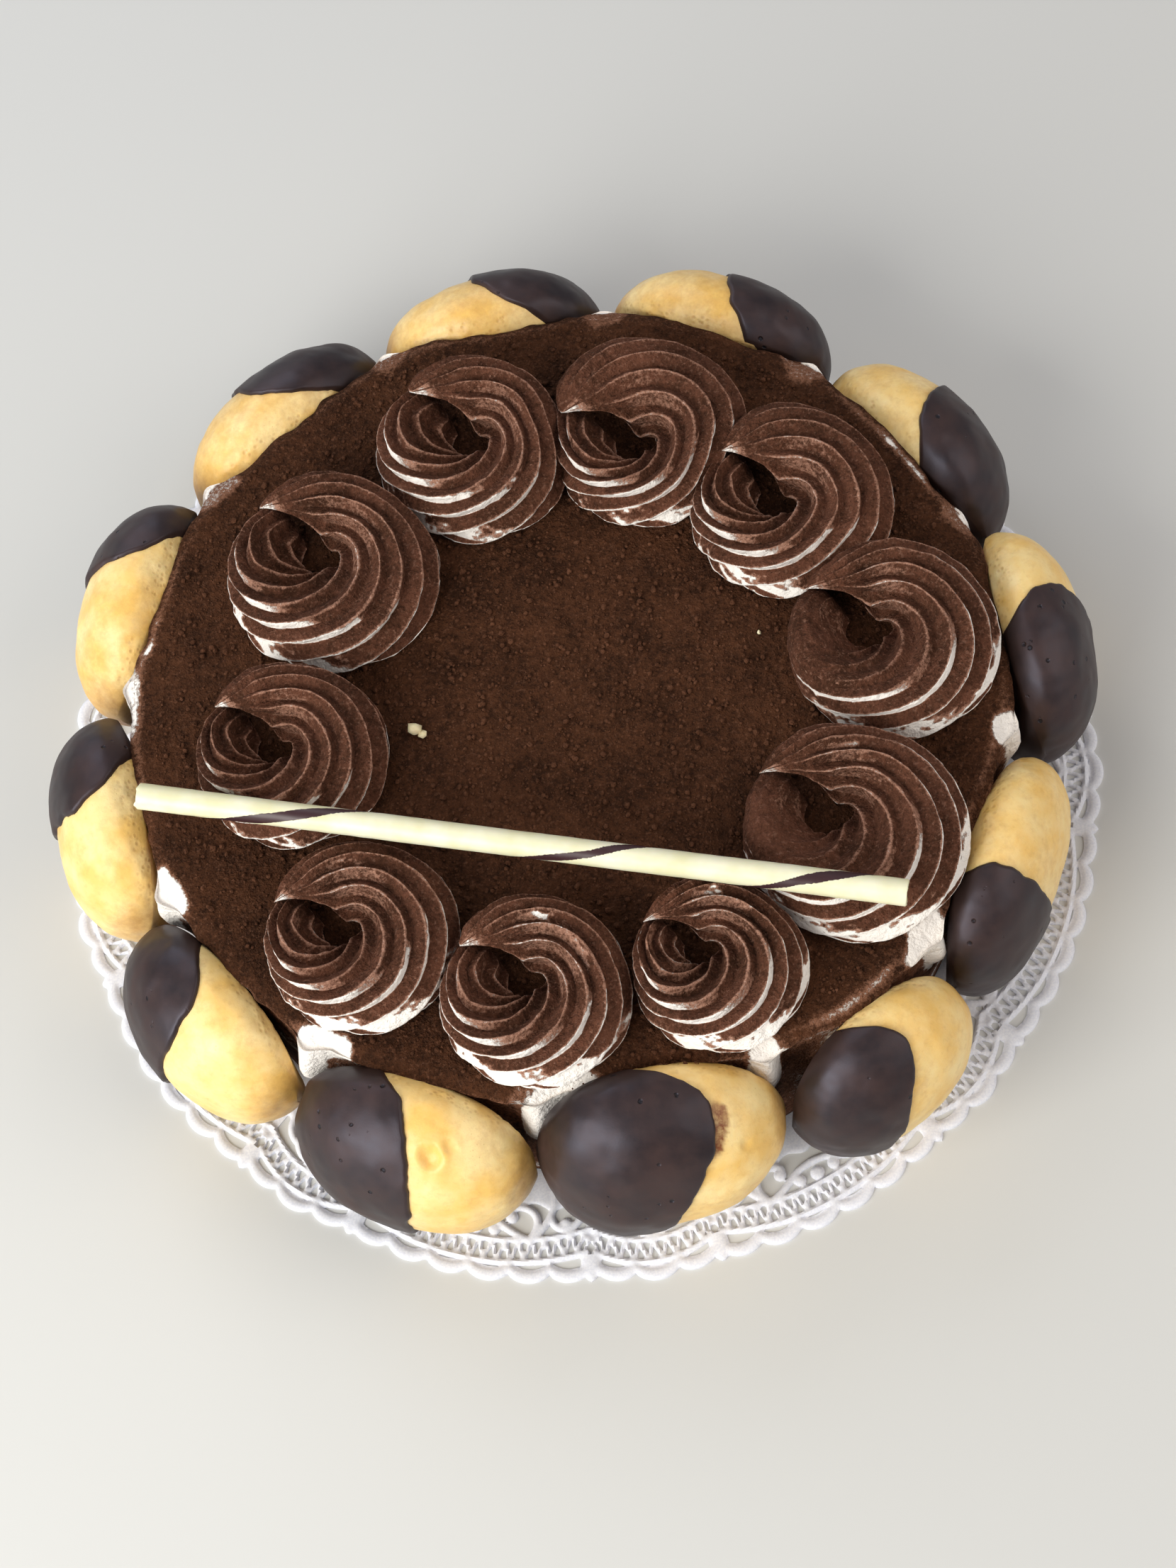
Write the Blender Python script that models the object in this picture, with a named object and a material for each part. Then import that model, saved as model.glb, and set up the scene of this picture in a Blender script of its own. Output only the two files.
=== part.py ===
"""Round chocolate gateau on a paper doily.

A cream-covered cake is dusted with cocoa and ringed by twelve sponge drops, each half dipped in dark
chocolate. Ten piped cream rosettes stand on it, and a white chocolate pencil lies across them.
Metres, +Z up. The origin is on the table under the middle of the cake, and -Y faces the viewer.
"""

import math
from typing import NamedTuple

import bpy
import numpy as np

# Pieces that touch keep this gap.
FIT_GAP = 0.0003

# Paper doily: a plain disc, an openwork band hung in swags, and a scalloped edge.
DOILY_RADIUS = 0.1515
DOILY_THICKNESS = 0.0008
DOILY_SECTORS = 9
DOILY_TURN_DEG = -49.9
NARROW_SWAG_DEG = 13.8
NARROW_SCALLOPS = 3
WIDE_SCALLOPS = 7
SCALLOP_STEPS = 3
SCALLOP_DEPTH = 0.0035
SWAG_BULGE = 0.0020
LANCET_SHORTFALL = 0.0020
LANCET_HALF_DEG = 0.9
BAND_OUTER = 0.1415
BAND_INNER = 0.1325
WINDOW_DEG = 4.4
WINDOWS_NARROW = 2
WINDOWS_WIDE = 4

# Cake: its cream side is pressed flat behind each drop, and rounded where two drops meet.
CAKE_TOP = 0.058
CAKE_LIMIT = 0.1220
RIM_ROUND = 0.0030
CAKE_SIDES = 72

# Sponge drops.
DROP_BACK_GAP = 0.0005
DIP_WRAPS_DEG = (-125, -75, -25, 25, 75, 125)
DROP_BACK_ROUND = 0.008
DROP_WRAP_DEG = 125.0
DROP_RINGS_DIPPED = 4
DROP_RINGS_BARE = 4
DROP_COLUMNS = 11
END_FULLNESS = 2.3
SIDE_FULLNESS = 2.1
COAT_THICKNESS = 0.0010

# Rosettes. Plan sizes are shares of a rosette's radius, heights shares of PIPED_HEIGHT, and
# places along the ribbon are degrees about its eye.
ROSETTE_RIDGES = 10
RIDGE_DEPTH = 0.085
RIDGE_CROWDING = 0.30
PIPED_HEIGHT = 0.026
EYE_EDGE = ((123, 0.20), (300, 0.20), (335, 0.245), (352, 0.255), (372, 0.215), (400, 0.165), (425, 0.155),
            (448, 0.185), (470, 0.25), (486, 0.36), (498, 0.52), (505, 0.66))
PIPING_STATIONS_DEG = (127, 140, 165, 192, 220, 247, 274, 302, 332, 362, 392, 422, 450, 474, 491, 500)
PIPING_START_DEG = 123.0
PIPING_END_DEG = 504.6
TOP_HEIGHT = ((123, 0.24), (138, 0.35), (160, 0.46), (200, 0.56), (260, 0.60), (350, 0.62),
              (420, 0.66), (460, 0.66), (485, 0.60), (505, 0.45))
FOOT_HEIGHT = ((123, 0.0), (395, 0.0), (430, 0.08), (460, 0.25), (480, 0.365), (505, 0.43))
WAIST_SHARE = ((123, 0.18), (395, 0.18), (505, 0.42))
RIDGE_ROLL_DEG = ((123, 0), (165, 2), (205, 28), (240, 72), (280, 115), (350, 168), (430, 205),
                  (505, 235))

# White chocolate pencil.
PENCIL_RADIUS = 0.0035
PENCIL_SIDES = 12
PENCIL_LEFT = (-0.1145, -0.0210)
PENCIL_RIGHT = (0.0765, -0.0815)


class Drop(NamedTuple):
    """One sponge drop: its place on the ring, its size, and how much of it the chocolate covers."""

    azimuth_deg: float
    width: float
    height: float
    depth: float
    seat: float
    lean_deg: float
    swell: float
    dip: tuple


class Rosette(NamedTuple):
    """One piped rosette: its place on the cake, its radius, its eye in shares of that, and its turn."""

    azimuth_deg: float
    distance: float
    radius: float
    eye: tuple
    turn_deg: float


DROPS = (
    Drop(123.6, 0.0662, 0.0572, 0.0289, 0.1170, 3.2, 0.01, (0.49, 0.51, 0.54, 0.57, 0.58, 0.17)),
    Drop(155.2, 0.0639, 0.0589, 0.0279, 0.1176, 1.3, 0.04, (0.53, 0.53, 0.51, 0.49, 0.44, 0.17)),
    Drop(185.7, 0.0618, 0.0587, 0.0277, 0.1180, 0.0, 0.04, (0.36, 0.37, 0.40, 0.47, 0.52, 0.27)),
    Drop(214.3, 0.0603, 0.0576, 0.0293, 0.1183, 0.7, 0.02, (0.46, 0.48, 0.49, 0.51, 0.53, 0.23)),
    Drop(243.4, 0.0639, 0.0575, 0.0310, 0.1181, 3.8, 0.01, (0.52, 0.54, 0.56, 0.57, 0.50, 0.28)),
    Drop(273.4, 0.0642, 0.0594, 0.0301, 0.1187, 9.4, 0.16, (0.26, 0.30, 0.39, 0.60, 0.74, 0.34)),
    Drop(301.1, 0.0546, 0.0575, 0.0276, 0.1195, 0.4, 0.05, (0.20, 0.21, 0.24, 0.38, 0.58, 0.29)),
    Drop(329.5, 0.0661, 0.0575, 0.0241, 0.1187, 3.8, 0.04, (0.46, 0.43, 0.41, 0.39, 0.37, 0.27)),
    Drop(360.8, 0.0655, 0.0601, 0.0266, 0.1185, 0.0, 0.04, (0.41, 0.43, 0.46, 0.51, 0.58, 0.36)),
    Drop(391.2, 0.0647, 0.0568, 0.0294, 0.1182, 1.3, 0.06, (0.57, 0.59, 0.60, 0.59, 0.51, 0.27)),
    Drop(421.8, 0.0665, 0.0589, 0.0275, 0.1186, 0.5, 0.04, (0.56, 0.56, 0.56, 0.53, 0.46, 0.30)),
    Drop(452.6, 0.0650, 0.0577, 0.0273, 0.1174, 2.8, 0.05, (0.54, 0.55, 0.56, 0.55, 0.50, 0.20)),
)

ROSETTES = (
    Rosette(144.4, 0.0716, 0.0298, (-0.14, 0.24), -9),
    Rosette(101.6, 0.0750, 0.0282, (-0.05, 0.16), -9),
    Rosette(64.8, 0.0785, 0.0292, (-0.17, -0.08), 9),
    Rosette(31.2, 0.0810, 0.0290, (-0.17, 0.07), -13),
    Rosette(-2.6, 0.0885, 0.0294, (-0.19, 0.18), 2),
    Rosette(-39.9, 0.0890, 0.0305, (-0.19, 0.24), 2),
    Rosette(-72.3, 0.0915, 0.0232, (-0.20, 0.24), 8),
    Rosette(-102.7, 0.0890, 0.0255, (-0.12, 0.16), 3),
    Rosette(-133.5, 0.0895, 0.0260, (-0.26, 0.14), 9),
    Rosette(-171.9, 0.0755, 0.0262, (-0.22, 0.15), -4),
)


def material(name, colour, roughness):
    """A Principled material of one colour."""
    made = bpy.data.materials.new(name)
    made.use_nodes = True
    shader = made.node_tree.nodes["Principled BSDF"]
    shader.inputs["Base Color"].default_value = (*colour, 1.0)
    shader.inputs["Roughness"].default_value = roughness
    shader.inputs["Metallic"].default_value = 0.0
    made.diffuse_color = (*colour, 1.0)
    return made


def add_mesh(name, points, faces, finish):
    """A mesh object of these points and faces, shaded smooth but for its sharp edges."""
    mesh = bpy.data.meshes.new(name)
    mesh.from_pydata([tuple(map(float, p)) for p in points], [], faces)
    mesh.materials.append(finish)
    mesh.shade_smooth()
    mesh.set_sharp_from_angle(angle=math.radians(50))
    made = bpy.data.objects.new(name, mesh)
    bpy.context.scene.collection.objects.link(made)
    return made


def skin_faces(rings, columns):
    """Faces of a closed skin over rings of points, with a pole before the first and after the last."""
    first_pole, last_pole = rings * columns, rings * columns + 1
    faces = []
    for column in range(columns):
        after = (column + 1) % columns
        faces.append((first_pole, after, column))
        for ring in range(rings - 1):
            low, high = ring * columns, (ring + 1) * columns
            faces.append((low + column, low + after, high + after))
            faces.append((low + column, high + after, high + column))
        last = (rings - 1) * columns
        faces.append((last_pole, last + column, last + after))
    return faces


def add_skin(name, rings, first_pole, last_pole, finish):
    """A solid whose skin runs over rings of points, from one pole to the other."""
    points = np.concatenate([rings.reshape(-1, 3), [first_pole], [last_pole]])
    return add_mesh(name, points, skin_faces(*rings.shape[:2]), finish)


def add_coat(name, outer, inner, finish):
    """A thin patch between two grids of points, whose first rows are each one point."""
    rows, columns = outer.shape[:2]
    points = np.concatenate([outer[0, :1], outer[1:].reshape(-1, 3),
                             inner[0, :1], inner[1:].reshape(-1, 3)])
    side = 1 + (rows - 1) * columns

    def index(row, column, layer):
        """A point's place in the list: layer 0 is the outer face and 1 the inner."""
        return layer * side + (0 if row == 0 else 1 + (row - 1) * columns + column)

    faces = []
    for row in range(rows - 1):
        for column in range(columns - 1):
            triangles = [((row, column), (row + 1, column + 1), (row + 1, column))]
            if row > 0:
                triangles.append(((row, column), (row, column + 1), (row + 1, column + 1)))
            for corners in triangles:
                faces.append([index(r, c, 0) for r, c in corners])
                faces.append([index(r, c, 1) for r, c in reversed(corners)])
        for column, forward in ((0, True), (columns - 1, False)):
            wall = [index(row, column, 0), index(row + 1, column, 0),
                    index(row + 1, column, 1), index(row, column, 1)]
            faces.append(wall if forward else wall[::-1])
    for column in range(columns - 1):
        faces.append([index(rows - 1, column, 0), index(rows - 1, column + 1, 0),
                      index(rows - 1, column + 1, 1), index(rows - 1, column, 1)])
    return add_mesh(name, points, faces, finish)


def polar(radius, degrees):
    """A point of the plane from its distance and azimuth."""
    angle = math.radians(degrees)
    return radius * math.cos(angle), radius * math.sin(angle)


def add_doily(finish):
    """The lace paper: one flat curve, filled between its scalloped outline and its windows."""
    splines = [doily_outline(), *doily_windows()]
    curve = bpy.data.curves.new("doily", "CURVE")
    curve.dimensions = "2D"
    curve.fill_mode = "BOTH"
    curve.extrude = DOILY_THICKNESS / 2
    curve.materials.append(finish)
    for outline in splines:
        spline = curve.splines.new("POLY")
        spline.points.add(len(outline) - 1)
        spline.use_cyclic_u = True
        for point, (x, y) in zip(spline.points, outline):
            point.co = (x, y, 0.0, 1.0)
    made = bpy.data.objects.new("doily", curve)
    made.location.z = DOILY_THICKNESS / 2
    bpy.context.scene.collection.objects.link(made)


def swags():
    """Each swag of the doily as its first azimuth, its width in degrees and its number of scallops."""
    wide = 360 / DOILY_SECTORS - NARROW_SWAG_DEG
    for sector in range(DOILY_SECTORS):
        start = DOILY_TURN_DEG + sector * 360 / DOILY_SECTORS - NARROW_SWAG_DEG / 2
        yield start, NARROW_SWAG_DEG, NARROW_SCALLOPS
        yield start + NARROW_SWAG_DEG, wide, WIDE_SCALLOPS


def swag_lift(share):
    """How far the middle of a swag stands out past its ends."""
    return SWAG_BULGE * (1 - (2 * share - 1) ** 2)


def doily_outline():
    """Scallops along each swag, and a pointed lancet where two swags meet."""
    foot = DOILY_RADIUS - SCALLOP_DEPTH - SWAG_BULGE
    outline = []
    for start, width, scallops in swags():
        outline.append(polar(DOILY_RADIUS - LANCET_SHORTFALL, start))
        pitch = (width - 2 * LANCET_HALF_DEG) / scallops
        for number in range(scallops):
            for step in range(SCALLOP_STEPS):
                azimuth = start + LANCET_HALF_DEG + pitch * (number + step / SCALLOP_STEPS)
                rise = SCALLOP_DEPTH * math.sin(math.pi * step / SCALLOP_STEPS) ** 0.7
                outline.append(polar(foot + swag_lift((azimuth - start) / width) + rise, azimuth))
        outline.append(polar(foot, start + width - LANCET_HALF_DEG))
    return outline


def doily_windows():
    """The openings of the lace band, as four-cornered windows between its radial bars."""
    for start, width, scallops in swags():
        count = WINDOWS_NARROW if scallops == NARROW_SCALLOPS else WINDOWS_WIDE
        for number in range(count):
            middle = start + width * (number + 0.5) / count
            lift = swag_lift((middle - start) / width)
            low, high = middle - WINDOW_DEG / 2, middle + WINDOW_DEG / 2
            yield [polar(BAND_INNER, low), polar(BAND_INNER, high),
                   polar(BAND_OUTER + lift, high), polar(BAND_OUTER + lift, low)]


def cream_radius(azimuth_deg, height):
    """The cake's radius: the distance to the nearest drop's flat back, up to a limit in the gaps."""
    backs = []
    for drop in DROPS:
        facing = math.cos(math.radians(azimuth_deg - drop.azimuth_deg))
        if facing > 0:
            seat = drop.seat - (height - DOILY_THICKNESS) * math.tan(math.radians(drop.lean_deg))
            backs.append(seat / facing)
    return min(CAKE_LIMIT, *backs)


def add_cake(finish):
    """The cream-covered cake: upright sides and a rounded rim round a flat top."""
    foot = DOILY_THICKNESS + FIT_GAP
    profile = (
        (0.0, foot),
        (0.0, CAKE_TOP - RIM_ROUND),
        (0.3 * RIM_ROUND, CAKE_TOP - 0.3 * RIM_ROUND),
        (RIM_ROUND, CAKE_TOP),
    )
    azimuths = np.linspace(0, 360, CAKE_SIDES, endpoint=False)
    rings = np.array([
        [(*polar(cream_radius(azimuth, height) - inset, azimuth), height) for azimuth in azimuths]
        for inset, height in profile
    ])
    add_skin("cream_cake", rings, (0, 0, foot), (0, 0, CAKE_TOP), finish)


def dip_share(drop, wrap_deg):
    """The share of the drop's width that is dipped: wrap 90 is its top, 0 its front and -90 its foot."""
    return np.interp(wrap_deg, DIP_WRAPS_DEG, drop.dip)


def drop_surface(drop, share, wrap_deg, grow):
    """Points on a drop, in its own axes of sideways, up and outward.

    Share runs from the dipped end to the bare one. Each cross-section is a half ellipse with a rounded
    back edge, and shrinks towards both ends. Grow is added to the width, height and depth.
    """
    along = 2 * share - 1
    scale = (1 - np.abs(along) ** END_FULLNESS) ** (1 / SIDE_FULLNESS)
    wrap = np.radians(wrap_deg)
    half_height = (drop.height / 2 + grow) * (1 - drop.swell * along)
    front = (drop.depth + grow - DROP_BACK_ROUND) * np.cos(wrap)
    back = DROP_BACK_ROUND * np.cos(wrap) / -math.cos(math.radians(DROP_WRAP_DEG))
    sideways = (drop.width / 2 + grow) * along
    up = half_height * scale * np.sin(wrap)
    outward = DROP_BACK_ROUND + scale * np.where(np.abs(wrap_deg) <= 90, front, back)
    return np.stack([sideways, up, outward], axis=-1)


def drop_to_world(drop, points):
    """Turns a drop's own points round the cake, leans its back on the cream and sets it on the doily."""
    lean, azimuth = math.radians(drop.lean_deg), math.radians(drop.azimuth_deg)
    sideways, up, deep = np.moveaxis(points, -1, 0)
    up = up + 2 * FIT_GAP + COAT_THICKNESS + drop.height / 2 * (1 + 0.5 * drop.swell)
    outward = drop.seat + DROP_BACK_GAP + deep * math.cos(lean) - up * math.sin(lean)
    x = outward * math.cos(azimuth) - sideways * math.sin(azimuth)
    y = outward * math.sin(azimuth) + sideways * math.cos(azimuth)
    z = DOILY_THICKNESS + FIT_GAP + up * math.cos(lean) + deep * math.sin(lean)
    return np.stack([x, y, z], axis=-1)


def ring_shares(fractions, low, high):
    """Shares of the width between two edges, spread so that the rings crowd towards both ends."""
    first, last = (np.arccos(1 - 2 * np.asarray(edge)) for edge in (low, high))
    angle = first + np.asarray(fractions)[:, None] * (last - first)
    return (1 - np.cos(angle)) / 2


def add_drop(number, drop, sponge, chocolate):
    """A sponge drop with its flat back to the cake, and the coat on its dipped end."""
    wraps = np.linspace(DROP_WRAP_DEG, -DROP_WRAP_DEG, DROP_COLUMNS)
    edge = dip_share(drop, wraps)
    dipped = ring_shares(np.arange(1, DROP_RINGS_DIPPED + 1) / DROP_RINGS_DIPPED, np.zeros_like(edge), edge)
    bare = ring_shares(np.arange(1, DROP_RINGS_BARE) / DROP_RINGS_BARE, edge, np.ones_like(edge))
    rings = drop_surface(drop, np.concatenate([dipped, bare]), wraps, 0.0)
    poles = drop_surface(drop, np.array([0.0, 1.0]), np.zeros(2), 0.0)
    add_skin(f"sponge_drop_{number:02d}", drop_to_world(drop, rings), *drop_to_world(drop, poles), sponge)
    coat = np.concatenate([np.zeros((1, len(wraps))), dipped])
    outer = drop_surface(drop, coat, wraps, FIT_GAP + COAT_THICKNESS)
    inner = drop_surface(drop, coat, wraps, FIT_GAP)
    add_coat(f"chocolate_dip_{number:02d}", drop_to_world(drop, outer), drop_to_world(drop, inner),
             chocolate)


def rosette_middle(rosette):
    """The middle of a rosette's base, on the cake."""
    return np.array(polar(rosette.distance, rosette.azimuth_deg))


def piping_reach(rosette, theta_deg):
    """The rosette's outline, measured from its eye: a circle, pressed flat against its neighbours."""
    around = np.radians(theta_deg + rosette.turn_deg)
    direction = np.stack([np.cos(around), np.sin(around)], axis=-1)
    eye = np.array(rosette.eye) * rosette.radius
    across = direction @ eye
    reach = np.sqrt(rosette.radius ** 2 - eye @ eye + across ** 2) - across
    middle = rosette_middle(rosette)
    for other in ROSETTES:
        apart = rosette_middle(other) - middle
        distance = math.hypot(*apart)
        if distance < 1e-6 or distance > rosette.radius + other.radius + 2 * FIT_GAP:
            continue
        share = (distance + rosette.radius - other.radius) / 2 - FIT_GAP
        facing = direction @ apart / distance
        room = (share - eye @ apart / distance) / np.maximum(facing, 1e-3)
        reach = np.where(facing > 0.05, np.minimum(reach, room), reach)
    return reach


def rosette_surface(rosette, theta_deg, turn):
    """Points on a rosette's piped ribbon.

    Theta is the way round the eye, from the buried start to the tail's tip. Turn is the way round the
    ribbon's own section, in radians: whole multiples of a ridge's share of it are the crests.
    """
    def at(table):
        """A value that changes along the piping, read from its table."""
        return np.interp(theta_deg, *zip(*table))

    reach = piping_reach(rosette, theta_deg) - RIDGE_DEPTH * rosette.radius / 2
    inner = np.minimum(at(EYE_EDGE) * rosette.radius, 0.97 * reach)
    top, foot, waist = (at(table) for table in (TOP_HEIGHT, FOOT_HEIGHT, WAIST_SHARE))
    half_width, middle = (reach - inner) / 2, (reach + inner) / 2
    angle = turn + np.radians(at(RIDGE_ROLL_DEG))
    angle = angle + RIDGE_CROWDING * np.cos(angle)
    phase = turn * ROSETTE_RIDGES / (2 * math.pi)
    crest = (1 - 2 * np.abs((phase + 0.5) % 1 - 0.5)) ** 1.6
    slimness = np.minimum(1, (top - foot) / 0.5)
    ridge = RIDGE_DEPTH * slimness * (crest - 0.5)
    waist_height = foot + waist * (top - foot)
    rise = np.where(np.sin(angle) > 0, top - waist_height, waist_height - foot)
    out = middle + (half_width + ridge * rosette.radius) * np.cos(angle)
    height = (waist_height + (rise + np.where(np.sin(angle) > 0, ridge, 0)) * np.sin(angle)) * PIPED_HEIGHT
    around = np.radians(theta_deg + rosette.turn_deg)
    eye = rosette_middle(rosette) + np.array(rosette.eye) * rosette.radius
    return np.stack([eye[0] + out * np.cos(around), eye[1] + out * np.sin(around),
                     CAKE_TOP + FIT_GAP + height], axis=-1)


def add_rosette(number, rosette, finish):
    """One rosette, with a row of points on each crest and each groove of its ribbon."""
    stations = np.array(PIPING_STATIONS_DEG, float)
    turns = np.linspace(0, 2 * math.pi, 2 * ROSETTE_RIDGES, endpoint=False)
    rings = rosette_surface(rosette, *np.meshgrid(stations, turns, indexing="ij"))
    ends = [rosette_surface(rosette, np.full_like(turns, end), turns).mean(axis=0)
            for end in (PIPING_START_DEG, PIPING_END_DEG)]
    add_skin(f"rosette_{number:02d}", rings[:, ::-1], *ends, finish)


def rosette_tops():
    """A fine cloud of points over all the rosettes, to rest the pencil on."""
    thetas = np.linspace(PIPING_STATIONS_DEG[0], PIPING_STATIONS_DEG[-1], 240)
    turns = np.linspace(0, 2 * math.pi, 8 * ROSETTE_RIDGES, endpoint=False)
    grid = np.meshgrid(thetas, turns, indexing="ij")
    return np.concatenate([rosette_surface(rosette, *grid).reshape(-1, 3) for rosette in ROSETTES])


def pencil_ends():
    """The pencil's two ends, at the heights where it comes to rest on the rosettes."""
    left, right = np.array(PENCIL_LEFT), np.array(PENCIL_RIGHT)
    length = math.hypot(*(right - left))
    along = (right - left) / length
    cloud = rosette_tops()
    offset = cloud[:, :2] - left
    aside = offset @ np.array([-along[1], along[0]])
    place = offset @ along / length
    near = (np.abs(aside) < PENCIL_RADIUS) & (place > 0) & (place < 1)
    needed = cloud[near, 2] + np.sqrt(PENCIL_RADIUS ** 2 - aside[near] ** 2) + FIT_GAP
    place = place[near]
    first, second = place < 0.5, place >= 0.5
    slope = (needed[second][None] - needed[first][:, None]) / (place[second][None] - place[first][:, None])
    at_middle = needed[first][:, None] + slope * (0.5 - place[first][:, None])
    best = np.unravel_index(at_middle.argmax(), at_middle.shape)
    low = at_middle[best] - 0.5 * slope[best]
    return np.array([*left, low]), np.array([*right, low + slope[best]])


def add_pencil(finish):
    """The white chocolate pencil: a thin rod lying across the rosettes."""
    left, right = pencil_ends()
    along = (right - left) / np.linalg.norm(right - left)
    aside = np.cross((0, 0, 1), along)
    aside /= np.linalg.norm(aside)
    over = np.cross(along, aside)
    angles = np.linspace(0, 2 * math.pi, PENCIL_SIDES, endpoint=False)[:, None]
    circle = PENCIL_RADIUS * (np.cos(angles) * aside + np.sin(angles) * over)
    add_skin("white_chocolate_pencil", np.array([left + circle, right + circle]), left, right, finish)


def build():
    """Clears the scene and makes every piece of the gateau."""
    for leftover in list(bpy.data.objects):
        bpy.data.objects.remove(leftover)
    sponge = material("golden_sponge", (0.78, 0.49, 0.17), 0.55)
    chocolate = material("dark_chocolate", (0.035, 0.020, 0.018), 0.32)
    add_doily(material("white_paper", (0.88, 0.88, 0.90), 0.70))
    add_cake(material("cocoa_dusted_cream", (0.075, 0.030, 0.018), 0.90))
    for number, drop in enumerate(DROPS, 1):
        add_drop(number, drop, sponge, chocolate)
    piped = material("cocoa_dusted_piped_cream", (0.12, 0.050, 0.032), 0.85)
    for number, rosette in enumerate(ROSETTES, 1):
        add_rosette(number, rosette, piped)
    add_pencil(material("white_chocolate", (0.86, 0.82, 0.58), 0.38))


build()
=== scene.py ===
"""The looks of a round chocolate cream cake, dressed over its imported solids.

A cocoa-dusted cream cake stands on embossed lace paper. Twelve sponge drops, half dipped in dark
chocolate, lean round it, and ten piped rosettes and a rolled white chocolate pencil lie on top.
Lengths are in metres, angles in degrees, +Z is up and the photograph is taken from the -Y side.
"""
import logging
import math
from dataclasses import dataclass
from enum import Enum

import bpy
import numpy as np
from mathutils import Matrix, Vector


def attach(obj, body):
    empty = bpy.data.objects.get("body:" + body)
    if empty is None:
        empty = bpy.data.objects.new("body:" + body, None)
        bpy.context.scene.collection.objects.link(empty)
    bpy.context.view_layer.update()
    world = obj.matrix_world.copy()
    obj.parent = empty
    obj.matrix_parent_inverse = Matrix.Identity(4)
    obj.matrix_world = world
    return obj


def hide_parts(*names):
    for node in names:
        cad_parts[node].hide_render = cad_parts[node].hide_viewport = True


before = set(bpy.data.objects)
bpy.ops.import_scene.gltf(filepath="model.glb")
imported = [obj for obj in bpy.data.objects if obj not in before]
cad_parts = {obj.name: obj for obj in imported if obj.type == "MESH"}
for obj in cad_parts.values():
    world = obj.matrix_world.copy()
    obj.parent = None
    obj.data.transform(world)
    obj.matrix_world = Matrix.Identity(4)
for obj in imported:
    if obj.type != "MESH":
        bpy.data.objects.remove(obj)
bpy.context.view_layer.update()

logger = logging.getLogger("cake")

MM = 0.001
BODY = "root"
FIT_GAP = 0.3 * MM
PAPER_TOP = 0.8 * MM
CAKE_TOP = 58.0 * MM


class Slot(Enum):
    """The record's material slots."""

    PAPER = "white_paper"
    CREAM = "cocoa_dusted_cream"
    SPONGE = "golden_sponge"
    CHOCOLATE = "dark_chocolate"
    PIPED = "cocoa_dusted_piped_cream"
    WHITE = "white_chocolate"


# A colour Mix node's sockets by number: how much of the second colour, both colours, and the result.
SHARE, FIRST, SECOND, MIXED = 0, 6, 7, 2


# Noise and easing

def lattice_value(cell: np.ndarray, seed: int) -> np.ndarray:
    """A repeatable random number for each cell of a cubic lattice.

    Args:
        cell: Whole numbers x, y, z on the last axis.
        seed: Which of the many patterns to give.

    Returns:
        Numbers from -1 to 1.
    """
    cell = cell.astype(np.uint32)
    mixed = cell[..., 0] * np.uint32(374761393) + cell[..., 1] * np.uint32(668265263)
    mixed = mixed + cell[..., 2] * np.uint32(2246822519) + np.uint32(seed * 40503 + 17)
    mixed = (mixed ^ (mixed >> np.uint32(15))) * np.uint32(2654435761)
    mixed = (mixed ^ (mixed >> np.uint32(13))) * np.uint32(1274126177)
    return (mixed >> np.uint32(8)) / float(1 << 23) - 1


def noise(points: np.ndarray, size: float, seed: int, octaves: int = 1) -> np.ndarray:
    """Smooth random hills: lattice values blended along x, y and z by the curve 3t^2 - 2t^3.

    Args:
        points: Places x, y, z on the last axis.
        size: Distance between hills; each further octave halves it and its strength.
        seed: Which pattern to give.
        octaves: How many layers are summed.

    Returns:
        About -1 to 1 for each place.
    """
    total = np.zeros(points.shape[:-1])
    for octave in range(octaves):
        spot = points / (size / 2 ** octave)
        base = np.floor(spot)
        ease = spot - base
        ease = ease * ease * (3 - 2 * ease)
        base = base.astype(np.int64)
        layer = 0.0
        for corner in np.ndindex(2, 2, 2):
            share = np.prod(np.where(corner, ease, 1 - ease), axis=-1)
            layer = layer + share * lattice_value(base + np.array(corner), seed + octave * 101)
        total += layer / 2 ** octave
    return total


def ease_between(value: np.ndarray, low: float, high: float) -> np.ndarray:
    """0 at low and 1 at high, by the curve 3t^2 - 2t^3; low may be the larger."""
    share = np.clip((value - low) / (high - low), 0, 1)
    return share * share * (3 - 2 * share)


def hump(value: np.ndarray, middle: float, width: float) -> np.ndarray:
    """A bell of height 1 at middle: exp(-((value - middle) / width)^2)."""
    return np.exp(-((value - middle) / width) ** 2)


def angle_from(azimuth_deg: np.ndarray, middle_deg: float) -> np.ndarray:
    """Degrees from a middle azimuth, between -180 and 180."""
    return (azimuth_deg - middle_deg + 180) % 360 - 180


def next_column(values: np.ndarray) -> np.ndarray:
    """For each point of a grid, the value at the next point round its closed row."""
    return np.roll(values, -1, axis=1)


def next_row(values: np.ndarray) -> np.ndarray:
    """For each point of a grid, the value at the same column in the next row."""
    return np.roll(values, -1, axis=0)


def grid_normals(grid: np.ndarray) -> np.ndarray:
    """Unit normals of a grid whose rows close on themselves: the step round a row x the step between rows.

    Args:
        grid: Points, rows x columns x 3.

    Returns:
        A normal for each point.
    """
    along = np.gradient(grid, axis=0)
    around = next_column(grid) - np.roll(grid, 1, axis=1)
    normal = np.cross(around, along)
    return normal / np.maximum(np.linalg.norm(normal, axis=-1, keepdims=True), 1e-12)


# Meshes

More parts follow.
